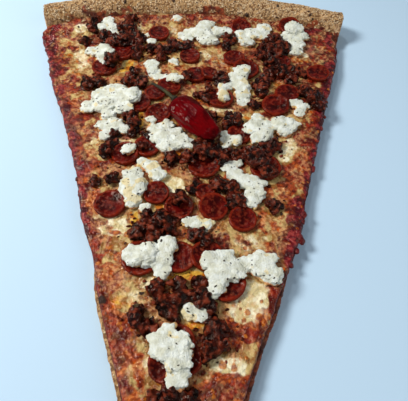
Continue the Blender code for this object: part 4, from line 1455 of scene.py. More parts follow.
@dataclass
class Crust:
    """The dough, its rim, and the grains and char on it."""

    finishes: Wardrobe
    voxel: float = 1.2 * MM
    columns: int = 150
    row: float = 3 * MM
    rim_rows: int = 26
    rim_noise: tuple[Noise, ...] = ((0.5, 6.5, 0.0), (0.45, 3.0, 3.0))
    cut_depth: float = 6 * MM
    corner_round: float = 9 * MM
    corner_pull: float = 4 * MM
    crumb_from: float = 40 * MM
    crept_bend: float = 3.0
    run_from: tuple[float, float] = (190 * MM, 60 * MM)
    run_above: tuple[float, float] = (2 * MM, 0.0)
    run_depth: float = 5 * MM
    char_level: tuple[float, float] = (0.25, 0.2)
    char_until: tuple[float, float] = (160 * MM, 390 * MM)
    char_strength: float = 0.9
    grains: int = 5200
    grain_size: tuple[float, float] = (0.3, 0.75)
    grain_shape: Place = (1.1, 0.8, 0.5)
    specks: int = 110
    speck_size: tuple[float, float] = (0.4, 1.0)
    speck_shape: Place = (1.0, 0.7, 0.4)
    char_shape: Place = (1.0, 0.8, 0.5)

    def build(self) -> None:
        """Models and dresses the dough, then strews its rim."""
        rows = spaced(0.0, PLAN.rim_inner, self.row)
        rows += spaced(PLAN.rim_inner, PLAN.length, PLAN.rim_width / self.rim_rows)[1:]
        bm = PLAN.wedge(
            rows, self.columns, lambda reach, share: 0.0, lambda reach: 0.0, PLAN.crust_height
        )
        dough = Sculpt("crust", bm, self.voxel)
        reach = dough.reach()
        cut = self.shape(dough, reach)
        stain = self.paint(dough, reach, cut)
        dough.dress(self.finishes.dough, "baked_dough", "pizza_crust")
        self.strew(dough, reach, cut, stain)

    def shape(self, dough: Sculpt, reach: Array) -> Array:
        """Gives the rim its lumps, the cuts their holes and the corners their rounding.

        Args:
            dough: The dough's surface.
            reach: Distance of each of its points from the tip.

        Returns:
            Which points are on a cut face.
        """
        rim = eased((reach - PLAN.rim_inner) / (4 * MM))
        cut = eased((0.75 - np.abs(dough.normals[:, 2])) / 0.3)
        cut = cut * eased((self.cut_depth - PLAN.inset(dough.points)) / (3 * MM))
        above = eased((dough.normals[:, 2] + 0.9) / 0.3)
        holes = np.minimum(0.0, dough.cloud(3.6, 9.0) + 0.1) * 1.6 + 0.35 * dough.cloud(1.8, 5.0)
        lumps = dough.blend(*self.rim_noise) * rim * (1 - cut)
        dough.push((lumps + holes * cut) * above * MM)
        tail = eased((reach - PLAN.length + self.corner_round) / self.corner_round)
        side = eased((self.corner_round - PLAN.inset(dough.points)) / self.corner_round)
        dough.points[:, 0] -= np.sign(dough.points[:, 0]) * tail * side * self.corner_pull
        dough.points[:, 2] = np.maximum(dough.points[:, 2], 0.0)
        dough.write()
        return cut

    def paint(self, dough: Sculpt, reach: Array, cut: Array) -> Array:
        """Keeps the masks that the finish reads.

        Args:
            dough: The dough's surface.
            reach: Distance of each of its points from the tip.
            cut: Which points are on a cut face.

        Returns:
            How far the sauce has stained the dough inside the rim.
        """
        dough.mask("crumb", cut * eased((reach - self.crumb_from) / (20 * MM)))
        inner = eased(1 - (reach - PLAN.rim_inner) / (5 * MM + 3 * MM * dough.cloud(16, 2.0)))
        crept = covered(*dough.places(self.crept_bend, 7.0, (41.0, 43.0)), CREPT)
        crept *= 0.8 + 0.5 * dough.cloud(5.0, 45.0)
        stain = np.maximum((0.1 + 0.7 * dough.cloud(7.0, 4.0)) * inner, crept)
        ran = eased((reach - dough.by_side(*self.run_from)) / (40 * MM))
        ran *= reach < PLAN.rim_inner
        ran *= eased((self.run_depth - PLAN.inset(dough.points)) / (2 * MM))
        ran *= eased((dough.points[:, 2] - dough.by_side(*self.run_above)) / (2 * MM))
        ran *= 0.9 + 0.5 * dough.cloud(6.0, 47.0)
        dough.mask("stain", np.maximum(stain * (1 - cut) * (dough.normals[:, 2] > 0.0), ran))
        scorch = eased((dough.cloud(9, 7.0) - dough.by_side(*self.char_level)) / 0.3) * cut
        scorch *= reach < dough.by_side(*self.char_until)
        dough.mask("char", scorch * self.char_strength)
        dough.mask("under", eased((-dough.normals[:, 2] - 0.5) / 0.3))
        return stain

    def strew(self, dough: Sculpt, reach: Array, cut: Array, stain: Array) -> None:
        """Puts grains of flour and charred specks on the rim.

        Args:
            dough: The dough's surface.
            reach: Distance of each of its points from the tip.
            cut: Which points are on a cut face.
            stain: Where the sauce has crept up it.
        """
        draw = random.Random(11)
        rim = np.flatnonzero(
            (reach > PLAN.rim_inner + 2 * MM) & (dough.normals[:, 2] > -0.5) & (cut < 0.5)
            & (stain < 0.4 + 0.8 * dough.cloud(4.0, 49.0))
        )
        grains = strewn(rim, self.grains, self.grain_size, self.grain_shape, draw)
        Scatter("flour_grains", dough, grains, draw).build(self.finishes.grain, "baked_dough")
        specks = strewn(rim, self.specks, self.speck_size, self.speck_shape, draw)
        for across, along, radius in RIM_CHAR:
            spot = PLAN.place(across, along)
            far = np.hypot(dough.points[rim, 0] - spot.x, dough.points[rim, 1] - spot.y)
            specks.append((int(rim[np.argmin(far)]), radius * MM, self.char_shape))
        Scatter("rim_char", dough, specks, draw).build(self.finishes.char, "baked_dough")


def strewn(
    spots: Array, count: int, sizes: tuple[float, float], shape: Place, draw: random.Random
) -> list[Bit]:
    """Bits at chance points of a surface.

    Args:
        spots: The points to choose from, by number.
        count: How many bits.
        sizes: Their least and greatest radius in millimetres.
        shape: How far they are stretched along each axis.
        draw: Their chance.

    Returns:
        The point, radius and shape of each.
    """
    return [(int(draw.choice(spots)), draw.uniform(*sizes) * MM, shape) for _ in range(count)]


@dataclass
class Scatter:
    """Small bits that lie on a surface, as one joined mesh."""

    name: str
    ground: Sculpt
    bits: list[Bit]
    draw: random.Random
    batch: int = 250
    uneven: float = 0.22
    rise: float = 0.15
    stretch: tuple[float, float] = (0.8, 1.2)

    def build(self, finish: Material, slot: str) -> None:
        """Models and dresses the bits.

        Args:
            finish: Their material.
            slot: Name of the material slot.
        """
        whole = bmesh.new()
        self.lay(whole)
        Sculpt(self.name, whole).dress(finish, slot)

    def lay(self, whole: BMesh) -> None:
        """Adds the bits to a mesh, a batch at a time.

        Args:
            whole: The mesh.
        """
        for start in range(0, len(self.bits), self.batch):
            bm = bmesh.new()
            for index, radius, shape in self.bits[start:start + self.batch]:
                upright = Vector(self.ground.normals[index])
                middle = Vector(self.ground.points[index]) + upright * radius * self.rise
                turn = Matrix.Rotation(self.draw.uniform(0.0, math.tau), 4, "Z")
                sides = (radius * s * self.draw.uniform(*self.stretch) for s in shape)
                where = (
                    Matrix.Translation(middle)
                    @ tilted(upright).to_4x4()
                    @ turn
                    @ Matrix.Diagonal((*sides, 1.0))
                )
                bmesh.ops.transform(bm, matrix=where, verts=chip(bm, self.draw, self.uneven))
            part = mesh_of(bm, "batch")
            whole.from_mesh(part)
            bpy.data.meshes.remove(part)


@dataclass
class Sauce:
    """The layer of tomato sauce, and the blobs that have run over the cuts."""

    finishes: Wardrobe
    columns: int = 90
    row: float = 2 * MM
    blobs: tuple[Place, ...] = (
        (72, 207, 2.6), (70, 202, 1.8), (67, 190, 3.2), (72, 189, 1.8), (64, 182, 2.0),
        (58, 173, 2.1), (82, 243, 2.2), (-113, 346, 2.2), (-107, 329, 2.0), (-117, 360, 2.0),
        (98, 293, 2.0), (-70, 231, 1.6), (-110, 337, 1.8), (104, 318, 1.8), (93, 281, 1.7),
    )
    blob_shape: Place = (0.8, 1.5, 0.55)
    blob_voxel: float = 0.6 * MM
    edge_noise: tuple[Noise, ...] = ((0.9, 5.0, 0.0), (0.5, 2.2, 3.0))
    blob_noise: tuple[Noise, ...] = ((0.9, 3.5, 0.0), (0.45, 1.6, 2.0))

    def build(self) -> None:
        """Models and dresses the layer, then the blobs."""
        self.layer()
        self.drips()

    def layer(self) -> None:
        """The sauce between the dough and the cheese, uneven along the cuts."""
        bm = PLAN.wedge(
            spaced(2 * MM, PLAN.rim_inner - 0.3 * MM, self.row),
            self.columns,
            PLAN.topping_spread,
            lambda reach: PLAN.sauce_floor + PLAN.swell(reach),
            lambda x, y, reach: PLAN.sauce_top + PLAN.swell(reach),
        )
        sauce = Sculpt("sauce", bm)
        gap = PLAN.inset(sauce.points)
        outward = np.sign(sauce.points[:, 0]) * eased((2.5 * MM - gap) / (3 * MM))
        sauce.points[:, 0] += outward * sauce.blend(*self.edge_noise) * MM
        sauce.points[:, 2] += 0.25 * sauce.cloud(4.0, 6.0) * MM
        sauce.write()
        sauce.dress(self.finishes.sauce, "tomato_sauce", "tomato_sauce")

    def drips(self) -> None:
        """The blobs of sauce on the cuts."""
        bm = bmesh.new()
        draw = random.Random(5)
        for across, along, radius in self.blobs:
            spot = PLAN.place(across, along)
            side = 1.0 if across > 0 else -1.0
            reach = PLAN.reach_of(spot.x, spot.y)
            edge, _ = PLAN.point(reach, side, PLAN.topping_spread(reach, side))
            middle = Vector((edge - side * radius * 0.3 * MM, spot.y, PLAN.sauce_top + 0.5 * MM))
            ball(bm, middle, radius * MM, self.blob_shape, draw.uniform(-0.5, 0.5))
        drips = Sculpt("sauce_drips", bm, self.blob_voxel)
        drips.push(drips.blend(*self.blob_noise) * MM)
        drips.dress(self.finishes.sauce, "tomato_sauce")


@dataclass
class Cheese:
    """The melted cheese with its blisters, pools and toasted edges."""

    finishes: Wardrobe
    voxel: float = 0.89 * MM
    columns: int = 130
    row: float = 2.5 * MM
    margin: float = 0.6 * MM
    kept_below: float = 0.3
    droop: float = 0.7 * MM
    string_noise: tuple[Noise, ...] = ((0.45, 7.0, 8.0), (0.35, 3.0, 1.0), (0.18, 1.6, 4.0))
    side_noise: tuple[Noise, ...] = ((1.0, 5.5, 6.0), (0.6, 2.4, 7.0))
    side_strength: float = 0.8
    blister_rise: float = 0.3
    char_rise: float = 0.8
    patch_bend: float = 3.2
    blister_cell: float = 3.9 * MM
    blister_share: float = 0.45

    def build(self) -> Sculpt:
        """Models and dresses the cheese.

        Returns:
            The cheese's surface.
        """
        bm = PLAN.wedge(
            spaced(4 * MM, PLAN.rim_inner - 0.6 * MM, self.row),
            self.columns,
            lambda reach, share: PLAN.topping_spread(reach, share) - self.margin,
            lambda reach: PLAN.cheese_floor + PLAN.swell(reach),
            lambda x, y, reach: PLAN.cheese_height(x, y),
        )
        cheese = Sculpt("cheese", bm, self.voxel)
        self.thin_underside(cheese)
        gap = PLAN.inset(cheese.points)
        top = eased((cheese.normals[:, 2] - 0.1) / 0.4)
        masks = self.masks(cheese)
        blister = self.blisters(cheese, masks[Bake.POOL]) * top
        side = 1 - np.abs(cheese.normals[:, 2])
        ragged = side * cheese.blend(*self.side_noise) * self.side_strength
        strings = cheese.blend(*self.string_noise)
        lift = strings * top * (1 - 0.5 * masks[Bake.POOL]) + self.blister_rise * blister
        lift += self.char_rise * masks[Bake.CHAR] * top
        cheese.push((lift + ragged) * MM)
        cheese.points[:, 2] -= self.droop * (eased((1.5 * MM - gap) / (3 * MM)) * top)
        cheese.write()
        self.paint(cheese, masks, blister, gap)
        cheese.dress(self.finishes.cheese, "melted_cheese", "mozzarella")
        return cheese

    def thin_underside(self, cheese: Sculpt) -> None:
        """Merges faces of the hidden underside.

        Args:
            cheese: The cheese's surface.
        """
        below = np.flatnonzero(cheese.normals[:, 2] < -0.6)
        piece = cheese.piece
        piece.vertex_groups.new(name="below").add(below.tolist(), 1.0, "REPLACE")
        step = piece.modifiers.new("thin", "DECIMATE")
        step.vertex_group = "below"
        step.ratio = 1 - (1 - self.kept_below) * len(below) / len(piece.data.vertices)
        cheese.apply()
        piece.vertex_groups.clear()
        piece.data.shade_smooth()
        cheese.read()

    def masks(self, cheese: Sculpt) -> dict[Bake, Array]:
        """How far each patch covers the points, with its outline bent by noise."""
        x, y = cheese.places(self.patch_bend, 9.0, (11.0, 17.0))
        return {bake: covered(x, y, patches) for bake, patches in PATCHES.items()}

    def blisters(self, cheese: Sculpt, pool: Array) -> Array:
        """Round toasted blisters, some listed and the rest scattered.

        Args:
            cheese: The cheese's surface.
            pool: Where the cheese lies smooth, with few of them.

        Returns:
            How far up a blister each point is, from 0 to 1.
        """
        x, y = cheese.places()
        found = np.zeros_like(x)
        uneven = 1 + cheese.cloud(2.8, 33.0)
        for across, along, radius in BLISTERS:
            far = np.hypot(x - across, y - along) * uneven / radius
            found = np.maximum(found, eased(1.5 - far))
        spots = []
        bent = cheese.points + 0.5 * MM * cheese.cloud(2.0, 31.0)[:, None]
        for p in (bent * (1, 1, 0) / self.blister_cell).tolist():
            distances, centres = noise.voronoi(p)
            luck = abs(math.sin(centres[0].x * 91.7 + centres[0].y * 47.3))
            size = 0.1 + 0.22 * abs(math.sin(centres[0].x * 13.1 - centres[0].y * 71.9))
            inside = min(1.0, max(0.0, (size - distances[0]) / 0.1 + 0.5))
            spots.append((luck < self.blister_share) * inside)
        return np.maximum(found, np.array(spots) * eased(1.2 - 2 * pool))

    @staticmethod
    def paint(cheese: Sculpt, masks: dict[Bake, Array], blister: Array, gap: Array) -> None:
        """Keeps the masks that the finish reads.

        Args:
            cheese: The cheese's surface.
            masks: How far each kind of patch covers it.
            blister: Where the blisters are.
            gap: How far inside the cuts each point lies.
        """
        reach = cheese.reach()
        pool = masks[Bake.POOL] * eased((gap - 1 * MM) / (5 * MM))
        oiled = masks[Bake.OIL] * 0.8
        broad = cheese.cloud(15.0, 21.0)
        small = cheese.cloud(6.0, 23.0)
        near = eased((20 * MM - gap) / (20 * MM))
        upper = eased((reach - 190 * MM) / (120 * MM))
        rimward = eased((reach - PLAN.rim_inner + 14 * MM) / (9 * MM))
        near = np.maximum(near, rimward)
        brink = 0.28 * eased((9 * MM - gap) / (9 * MM)) - 0.25 * pool - oiled
        corner = eased((np.abs(cheese.points[:, 0]) - 60 * MM) / (30 * MM)) * upper
        red = 0.16 + 0.12 * corner + 0.24 * upper + 0.4 * broad + 0.6 * small + 0.32 * near + brink
        toast = 0.24 + 0.06 * upper - 0.4 * broad + 0.6 * small + 0.38 * near + brink
        cheese.mask("red", np.maximum(red, masks[Bake.RED] - 0.1 - oiled))
        cheese.mask("toast", np.maximum(toast, masks[Bake.TOAST] - 0.05 - oiled))
        cheese.mask("pink", 0.55 + 0.35 * broad + 0.35 * small - 0.4 * pool - oiled)
        bare = np.maximum(masks[Bake.RED], masks[Bake.TOAST]) * eased((180 * MM - reach) / (50 * MM))
        cheese.mask("bare", np.maximum(bare, 0.6 * eased((12 * MM - gap) / (10 * MM))))
        cheese.mask("pool", pool)
        cheese.mask("oil", masks[Bake.OIL])
        cheese.mask("blister", blister)
        cheese.mask("char", masks[Bake.CHAR] * 0.85)
        band = (cheese.by_side(1.8, 3.6) + 5.0 * cheese.cloud(14.0, 27.0) + 3.0 * small) * MM
        edge = eased((band - gap) / (3 * MM)) * eased((reach - 150 * MM) / (40 * MM))
        cheese.mask("edge", np.maximum(edge, masks[Bake.SAUCE]))


@dataclass
class Coin:
    """A slice of cured sausage with a cupped, slightly uneven face."""

    name: str
    spec: Place
    voxel: float = 0.55 * MM
    cup: float = 0.7 * MM
    curl: float = 0.8 * MM
    sides: int = 40
    wobble: float = 0.035
    foot: float = 0.95
    skin_noise: tuple[Noise, ...] = ((0.3, 3.4, 0.0), (0.16, 1.5, 2.0))

    def model(self, bed: Bed, cupped: bool = True) -> Sculpt:
        """Models the coin where it lies.

        Args:
            bed: What lies under it.
            cupped: Whether its edge has curled up.

        Returns:
            The coin's surface.
        """
        across, along, diameter = self.spec
        middle, radius = PLAN.place(across, along), diameter * MM / 2
        mean, slope = bed.lay_disc(middle, radius)
        tilt = tilted(Vector((-slope.x, -slope.y, 1.0)).normalized())
        bm = bmesh.new()
        bmesh.ops.create_cone(
            bm, cap_ends=True, segments=self.sides, radius1=radius * self.foot, radius2=radius,
            depth=bed.coin_thick,
        )
        coin = Sculpt(self.name, bm, self.voxel)
        coin.soften(2)
        flat = np.hypot(coin.points[:, 0], coin.points[:, 1]) / radius
        face = eased((coin.normals[:, 2] - 0.2) / 0.5)
        seed = across * 0.37 + along * 0.11
        turn = np.arctan2(coin.points[:, 1], coin.points[:, 0])
        around = np.stack([np.cos(turn), np.sin(turn), 0 * turn], 1)
        coin.points[:, :2] *= (1 + cloud(around, 0.8, seed) * self.wobble * flat)[:, None]
        dip = self.cup * (1.0 if cupped else 0.7)
        coin.points[:, 2] += face * dip * (1.25 * eased((flat - 0.45) / 0.5) - 0.9)
        curl = self.curl * eased((flat - 0.5) / 0.5) * np.maximum(0.0, np.cos(turn * 2 + seed))
        coin.points[:, 2] += curl * (0.6 if cupped else 0.3)
        coin.write()
        skin = ((strength, size, seed + more) for strength, size, more in self.skin_noise)
        coin.push(coin.blend(*skin) * MM)
        coin.mask("rim", eased((flat - 0.72) / 0.16))
        rise = mean + bed.coin_thick * 0.35
        coin.points = coin.points @ np.array(tilt).T + (middle.x, middle.y, rise)
        coin.write()
        return coin


@dataclass(frozen=True)
class Lumps:
    """How big lumps are made up, by smaller ones that grow on them; sizes are shares of theirs."""

    shape: Place
    rise: float
    core: float
    uneven: float
    buds: float
    buds_by_size: float
    lowest: float
    sizes: tuple[float, float]
    away: tuple[float, float]
    stretch: tuple[tuple[float, float], ...]

    def heap(self, bm: BMesh, specs: Sequence[Place], bed: Bed, seed: int) -> None:
        """Adds the lumps.

        Args:
            bm: Where they go.
            specs: Their places and radii in millimetres.
            bed: What lies under them.
            seed: Their chance.
        """
        draw = random.Random(seed)
        for across, along, radius in specs:
            middle = PLAN.place(across, along).to_3d()
            middle.z = bed.height(middle.xy) + self.rise * radius * MM
            rock(bm, middle, radius * self.core * MM, self.shape, draw, self.uneven)
            for _ in range(round(self.buds + radius * self.buds_by_size)):
                toward = random_direction(draw, self.lowest)
                size = radius * draw.uniform(*self.sizes) * MM
                away = radius * draw.uniform(*self.away) * MM
                spot = middle + Vector((toward.x, toward.y, toward.z * self.shape[2])) * away
                rock(bm, spot, size, tuple(draw.uniform(*ends) for ends in self.stretch), draw)


@dataclass
class Crumbs:
    """Craggy crumbs of fried sausage, run together where they touch."""

    name: str
    specs: Sequence[Place]
    seed: int
    voxel: float = 0.62 * MM
    lumps: Lumps = Lumps(
        shape=(1.06, 1.06, 0.82), rise=0.34, core=0.8, uneven=ROCK_UNEVEN, buds=4, buds_by_size=1,
        lowest=-0.35, sizes=(0.26, 0.5), away=(0.6, 0.92),
        stretch=((0.8, 1.3), (0.8, 1.2), (0.7, 1.0)),
    )

    def model(self, bed: Bed) -> Sculpt:
        """Models the crumbs where they lie.

        Args:
            bed: What lies under them.

        Returns:
            Their surface.
        """
        bm = bmesh.new()
        self.lumps.heap(bm, self.specs, bed, self.seed)
        crumbs = Sculpt(self.name, bm, self.voxel)
        smooth = crumbs.points.copy()
        relief = 0.5 * crumbs.ridge(5.0, self.seed) + 0.45 * crumbs.cloud(2.1, self.seed + 2.0)
        relief += 0.9 * np.minimum(0.0, crumbs.cloud(4.6, self.seed + 5.0)) - 0.1
        crumbs.push(relief * MM)
        # Painted shade: how far each point sank below the smooth lumps, kept for darkening the hollows.
        sunk = np.einsum("ij,ij->i", smooth - crumbs.points, crumbs.normals) / MM
        crumbs.mask("hollow_shade", eased((sunk + 0.05) / 0.5) * 0.9)
        return crumbs


@dataclass
class Spoonful:
    """A dollop of ricotta: soft lumps, smaller curds at its edge."""

    name: str
    specs: Sequence[Place]
    seed: int
    toasted: float = 0.0
    voxel: float = 0.6 * MM
    lumps: Lumps = Lumps(
        shape=(1.06, 1.06, 0.74), rise=0.22, core=0.94, uneven=0.16, buds=5, buds_by_size=1.3,
        lowest=-0.1, sizes=(0.22, 0.5), away=(0.6, 0.9),
        stretch=((0.9, 1.6), (0.7, 1.1), (0.5, 0.9)),
    )
    crown: float = 0.56
    flatness: float = 0.6

    def model(self, bed: Bed) -> Sculpt:
        """Models the ricotta where it lies.

        Args:
            bed: What lies under it.

        Returns:
            Its surface.
        """
        bm = bmesh.new()
        self.lumps.heap(bm, self.specs, bed, self.seed)
        self.fill(bm, bed)
        curd = Sculpt(self.name, bm, self.voxel)
        curd.soften(3)
        side = 1 - curd.normals[:, 2] ** 2
        relief = 0.4 * curd.ridge(6.5, self.seed) + 0.35 * curd.cloud(3.2, self.seed + 1.0)
        relief += 0.28 * curd.cloud(1.5, self.seed + 3.0) + 0.2
        relief += side * (curd.cloud(2.4, self.seed + 5.0) + 0.6 * curd.cloud(1.3, self.seed))
        curd.push(relief * MM)
        feet = np.array([
            (x * MM, y * MM - PLAN.length / 2, bed.height(PLAN.place(x, y)), radius * MM)
            for x, y, radius in self.specs
        ])
        away = np.hypot(curd.points[:, :1] - feet[:, 0], curd.points[:, 1:2] - feet[:, 1])
        share = np.exp(-away / (3 * MM))
        share /= share.sum(axis=1, keepdims=True)
        height = curd.points[:, 2] - share @ feet[:, 2]
        crown = self.crown * (share @ feet[:, 3]) * (1 + 0.3 * curd.cloud(6.0, self.seed + 7.0))
        curd.points[:, 2] -= self.flatness * np.maximum(0.0, height - crown)
        curd.write()
        height /= MM
        patchy = curd.cloud(7.0, self.seed + 9.0)
        curd.mask("stain", eased((3.6 - height) / 3.0) * (0.8 + 1.1 * patchy))
        toast = curd.cloud(6.0, self.seed + 13.0) - 0.25 + self.toasted
        curd.mask("toast", eased(toast / 0.35) * (0.6 + self.toasted))
        return curd

    def fill(self, bm: BMesh, bed: Bed) -> None:
        """Closes the necks between neighbouring lumps.

        Args:
            bm: The spoonful's shapes.
            bed: What lies under them.
        """
        for (x1, y1, first), (x2, y2, second) in zip(self.specs, self.specs[1:]):
            if math.hypot(x2 - x1, y2 - y1) < first + second + 1:
                across, along, radius = (x1 + x2) / 2, (y1 + y2) / 2, (first + second) * 0.42
                middle = PLAN.place(across, along).to_3d()
                middle.z = bed.height(middle.xy) + 0.2 * radius * MM
                ball(bm, middle, radius * MM, self.lumps.shape)


@dataclass
class Toppings:
    """Everything that lies on the cheese."""

    finishes: Wardrobe
    bed: Bed = field(default_factory=Bed)

    def build(self) -> None:
        """Models and dresses the toppings in the order in which they were laid."""
        for index, (coins, crumbs) in enumerate(HEAPS, 1):
            node = f"sausage_heap_{index:02d}"
            for number, spec in enumerate(coins, 1):
                coin = Coin(f"heap_{index:02d}_coin_{number}", spec).model(self.bed, False)
                coin.dress(self.finishes.coin, "sliced_sausage", node)
            if crumbs:
                made = Crumbs(f"heap_{index:02d}_crumbs", crumbs, index).model(self.bed)
                made.dress(self.finishes.crumb, "crumbled_sausage", node)
        for index, spec in enumerate(COINS, 1):
            coin = Coin(f"coin_{index:02d}", spec).model(self.bed)
            coin.dress(self.finishes.coin, "sliced_sausage", f"sausage_coin_{index:02d}")
        bare = Bed()
        baked = Crumbs("baked_in_crumbs", BAKED_IN_CRUMBS, 40).model(bare)
        baked.dress(self.finishes.crumb, "crumbled_sausage", "mozzarella")
        shreds = Spoonful("baked_in_ricotta", BAKED_IN_RICOTTA, 41).model(bare)
        shreds.dress(self.finishes.ricotta, "ricotta", "mozzarella")
        pepper = bmesh.new()
        for index, specs in enumerate(RICOTTA, 1):
            curd = Spoonful(
                f"ricotta_spoonful_{index:02d}", specs, 50 + index, TOASTED.get(index, 0.0)
            ).model(self.bed)
            curd.dress(self.finishes.ricotta, "ricotta", f"ricotta_{index:02d}")
            self.season(curd, index, pepper)
        Sculpt("pepper", pepper).dress(self.finishes.pepper, "ricotta")

    @staticmethod
    def season(curd: Sculpt, index: int, pepper: BMesh) -> None:
        """Scatters flakes of pepper on a spoonful.

        Args:
            curd: The spoonful's surface.
            index: Its number.
            pepper: The mesh that the flakes go into.
        """
        draw = random.Random(700 + index)
        upper = np.flatnonzero(curd.normals[:, 2] > 0.25)
        flakes = strewn(upper, 4 + len(upper) // 380, (0.25, 0.75), (1.3, 0.7, 0.5), draw)
        Scatter("pepper", curd, flakes, draw).lay(pepper)


@dataclass
class Chili:
    """The roasted chili and its stalk."""

    finishes: Wardrobe
    stalk_end: tuple[float, float] = (-13, 294)
    tip: tuple[float, float] = (16, 260)
    width: float = 21.5 * MM
    height: float = 13 * MM
    rest: float = 12.4 * MM
    shoulder: float = 0.16
    end: float = 0.13
    taper: float = 0.42
    folds: int = 5
    fold_depth: float = 0.07
    stalk_far: tuple[float, float] = (-31, 311)
    stalk_thick: float = 2.8 * MM
    stalk_bend: float = 1.8 * MM
    stalk_steps: int = 24
    stalk_sides: int = 20

    def build(self) -> None:
        """Models and dresses both."""
        self.fruit()
        self.stalk()

    def fruit(self) -> None:
        """The red chili: broad shoulders, a blunt end and long folds in its skin."""
        start, end = PLAN.place(*self.stalk_end), PLAN.place(*self.tip)
        length = (end - start).length
        bm = bmesh.new()
        bmesh.ops.create_uvsphere(bm, u_segments=120, v_segments=100, radius=1.0)
        for vert in bm.verts:
            t = (vert.co.z + 1) / 2
            around = math.atan2(vert.co.y, vert.co.x)
            shoulder = 1 - max(0.0, 1 - t / self.shoulder) ** 2
            end_cap = 1 - max(0.0, 1 - (1 - t) / self.end) ** 2
            full = math.sqrt(shoulder * end_cap) * (1 - self.taper * ease(2 * t - 1))
            fold = 1 + self.fold_depth * math.sin(self.folds * around + 5 * t) * ease(t * 3)
            across = full * fold * self.width / 2
            deep = full * fold * self.height / 2
            vert.co = (t * length, across * math.cos(around), deep * math.sin(around))
        turn = Matrix.Rotation(math.atan2(end.y - start.y, end.x - start.x), 4, "Z")
        lift = Matrix.Translation((start.x, start.y, self.rest + self.height * 0.42))
        bmesh.ops.transform(bm, matrix=lift @ turn, verts=bm.verts)
        bmesh.ops.recalc_face_normals(bm, faces=bm.faces)
        skin = Sculpt("chili", bm)
        back = np.array(turn.to_3x3().inverted())
        local = skin.points @ back.T * (0.35, 1.0, 1.0)
        creases = -np.abs(cloud(local, 2.6 * MM, 3.0)) * 0.75 + 0.25
        creases += 0.3 * cloud(local, 1.5 * MM, 8.0) - 0.4 * np.abs(cloud(local, 5.5 * MM, 1.0))
        skin.push(creases * 0.8 * MM)
        # Painted shade: how deep each crease is, kept for darkening it.
        skin.mask("fold", eased((-creases - 0.15) / 0.4) * 0.75)
        skin.dress(self.finishes.chili, "chili_skin", "red_chili")

    def stalk(self) -> None:
        """The green stalk: a tapered, slightly bent, ridged rod with a flared foot."""
        start, end = PLAN.place(*self.stalk_end), PLAN.place(*self.stalk_far)
        height = self.rest + self.height * 0.45
        upright = tilted((end - start).normalized().to_3d())
        bm = bmesh.new()
        ring = bmesh.ops.create_circle(
            bm, cap_ends=True, segments=self.stalk_sides, radius=self.stalk_thick / 2
        )
        spokes = []
        for vert in ring["verts"]:
            turn = math.atan2(vert.co.y, vert.co.x)
            spokes.append(upright @ vert.co * (1 + 0.1 * math.cos(5 * turn)))
            vert.co = spokes[-1] * 2.1 + Vector((start.x, start.y, height))
        front = bm.faces[:]
        for i in range(self.stalk_steps):
            t = (i + 1) / self.stalk_steps
            if i == 0:
                raised = bmesh.ops.extrude_face_region(bm, geom=front)["geom"]
                front = [part for part in raised if isinstance(part, bmesh.types.BMFace)]
            else:
                front = bmesh.ops.extrude_discrete_faces(bm, faces=front)["faces"]
            after = start.lerp(end, t).to_3d()
            after.z = height + self.stalk_bend * math.sin(math.pi * t)
            girth = (1 + 1.1 * (1 - ease(t * 7))) * (1 - 0.34 * t)
            middle = front[0].calc_center_median()
            for vert in front[0].verts:
                aim = (vert.co - middle).normalized()
                spoke = min(spokes, key=lambda s: (s.normalized() - aim).length)
                vert.co = after + spoke * girth
        bmesh.ops.recalc_face_normals(bm, faces=bm.faces)
        Sculpt("stalk", bm).dress(self.finishes.stalk, "chili_stalk", "chili_stalk")


@dataclass
class LooseCrumbs:
    """Tiny crumbs of sausage and charred specks that lie around the heaps."""

    finishes: Wardrobe
    ground: Sculpt
    count: int = 620

    def build(self) -> None:
        """Scatters the crumbs near the heaps."""
        draw = random.Random(77)
        top = np.flatnonzero(self.ground.normals[:, 2] > 0.6)
        sources = [spec for _, crumbs in HEAPS for spec in crumbs] + list(BAKED_IN_CRUMBS)
        spots = self.ground.points[top]
        bits = []
        for _ in range(self.count):
            across, along, radius = draw.choice(sources)
            away = (radius + abs(draw.gauss(0.0, 4.0))) * MM
            turn = draw.uniform(0.0, math.tau)
            aim = PLAN.place(across, along) + away * Vector((math.cos(turn), math.sin(turn)))
            far = np.hypot(spots[:, 0] - aim.x, spots[:, 1] - aim.y)
            nearest = int(np.argmin(far))
            if far[nearest] < 1.5 * MM:
                bits.append((int(top[nearest]), draw.uniform(0.35, 1.5) * MM, (1.2, 0.8, 0.7)))
        Scatter("loose_crumbs", self.ground, bits, draw, uneven=0.35).build(
            self.finishes.crumb, "crumbled_sausage"
        )


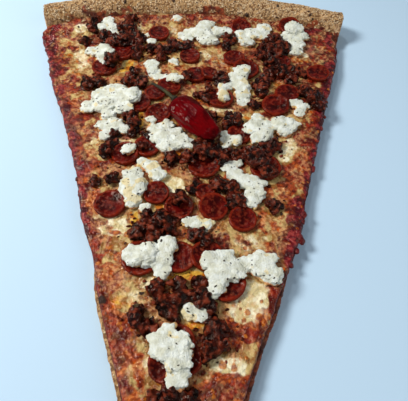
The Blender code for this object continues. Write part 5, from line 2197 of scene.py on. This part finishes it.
@dataclass
class Studio:
    """The floor, the lights and the camera."""

    pitch: float = math.radians(57.4)
    roll: float = math.radians(-3.1)
    yaw: float = math.radians(-2.3)
    place: Place = (2.8 * MM, 78.9 * MM - 217 * MM, 222.1 * MM)
    lens: float = 35.3
    sensor: float = 36.0
    floor_drop: float = 0.2 * MM
    floor_size: float = 3.0
    floor_colour: Place = (191, 218, 238)
    floor_roughness: float = 0.8
    sky_colour: Colour = (0.88, 0.94, 1.0, 1.0)
    sky_strength: float = 0.2
    aim: Place = (0.0, 0.02, 0.0)
    lights: tuple[tuple[str, Place, float, float, Place], ...] = (
        ("key", (-0.7, 0.12, 0.75), 0.3, 10.6, (1.0, 0.985, 0.96)),
        ("fill", (0.75, -0.35, 0.6), 0.8, 2.4, (0.92, 0.96, 1.0)),
        ("window", (-0.22, 0.62, 0.85), 0.06, 1.4, (1.0, 1.0, 1.0)),
    )

    def build(self) -> None:
        """Sets up the whole studio."""
        self.floor()
        self.camera()
        for light in self.lights:
            self.light(*light)
        scene = bpy.context.scene
        scene.view_settings.view_transform = "Standard"
        world = bpy.data.worlds.new("daylight")
        world.use_nodes = True
        sky = world.node_tree.nodes["Background"]
        sky.inputs["Color"].default_value = self.sky_colour
        sky.inputs["Strength"].default_value = self.sky_strength
        scene.world = world

    def camera(self) -> None:
        """The camera, looking down at the slice from beyond its tip."""
        across = Vector((math.cos(self.yaw), math.sin(self.yaw), 0.0))
        ahead = Vector((-math.sin(self.yaw), math.cos(self.yaw), 0.0))
        view = ahead * math.cos(self.pitch) - UP * math.sin(self.pitch)
        low = -ahead * math.sin(self.pitch) - UP * math.cos(self.pitch)
        right = math.cos(self.roll) * across + math.sin(self.roll) * low
        down = -math.sin(self.roll) * across + math.cos(self.roll) * low
        made = stand("camera", bpy.data.cameras.new("camera"))
        made.data.lens, made.data.sensor_width = self.lens, self.sensor
        made.data.clip_start = 5 * MM
        made.matrix_world = (
            Matrix.Translation(self.place) @ Matrix((right, -down, -view)).transposed().to_4x4()
        )
        bpy.context.scene.camera = made

    def floor(self) -> None:
        """A plain pale floor."""
        bm = bmesh.new()
        bmesh.ops.create_grid(bm, x_segments=1, y_segments=1, size=self.floor_size)
        bmesh.ops.translate(bm, verts=bm.verts, vec=(0.0, 0.0, -self.floor_drop))
        made = stand("floor", mesh_of(bm, "floor"))
        paper = bpy.data.materials.new("floor")
        paper.use_nodes = True
        shader = paper.node_tree.nodes["Principled BSDF"]
        shader.inputs["Base Color"].default_value = tint(*self.floor_colour)
        shader.inputs["Roughness"].default_value = self.floor_roughness
        made.data.materials.append(paper)

    def light(self, name: str, where: Place, size: float, power: float, colour: Place) -> None:
        """An area light aimed at the slice.

        Args:
            name: Its name.
            where: Its place.
            size: Its breadth.
            power: Its power in watts.
            colour: Its colour.
        """
        lamp = bpy.data.lights.new(name, "AREA")
        lamp.shape, lamp.size, lamp.energy, lamp.color = "DISK", size, power, colour
        made = stand(name, lamp)
        made.location = where
        heading = Vector(self.aim) - Vector(where)
        made.rotation_euler = heading.to_track_quat("-Z", "Y").to_euler()


def main() -> None:
    """Builds the studio and the slice from the dough up."""
    logging.basicConfig(level=logging.INFO, format="%(message)s")
    Studio().build()
    finishes = Wardrobe()
    Crust(finishes).build()
    Sauce(finishes).build()
    cheese = Cheese(finishes).build()
    Toppings(finishes).build()
    Chili(finishes).build()
    LooseCrumbs(finishes, cheese).build()


if __name__ == "__main__":
    main()
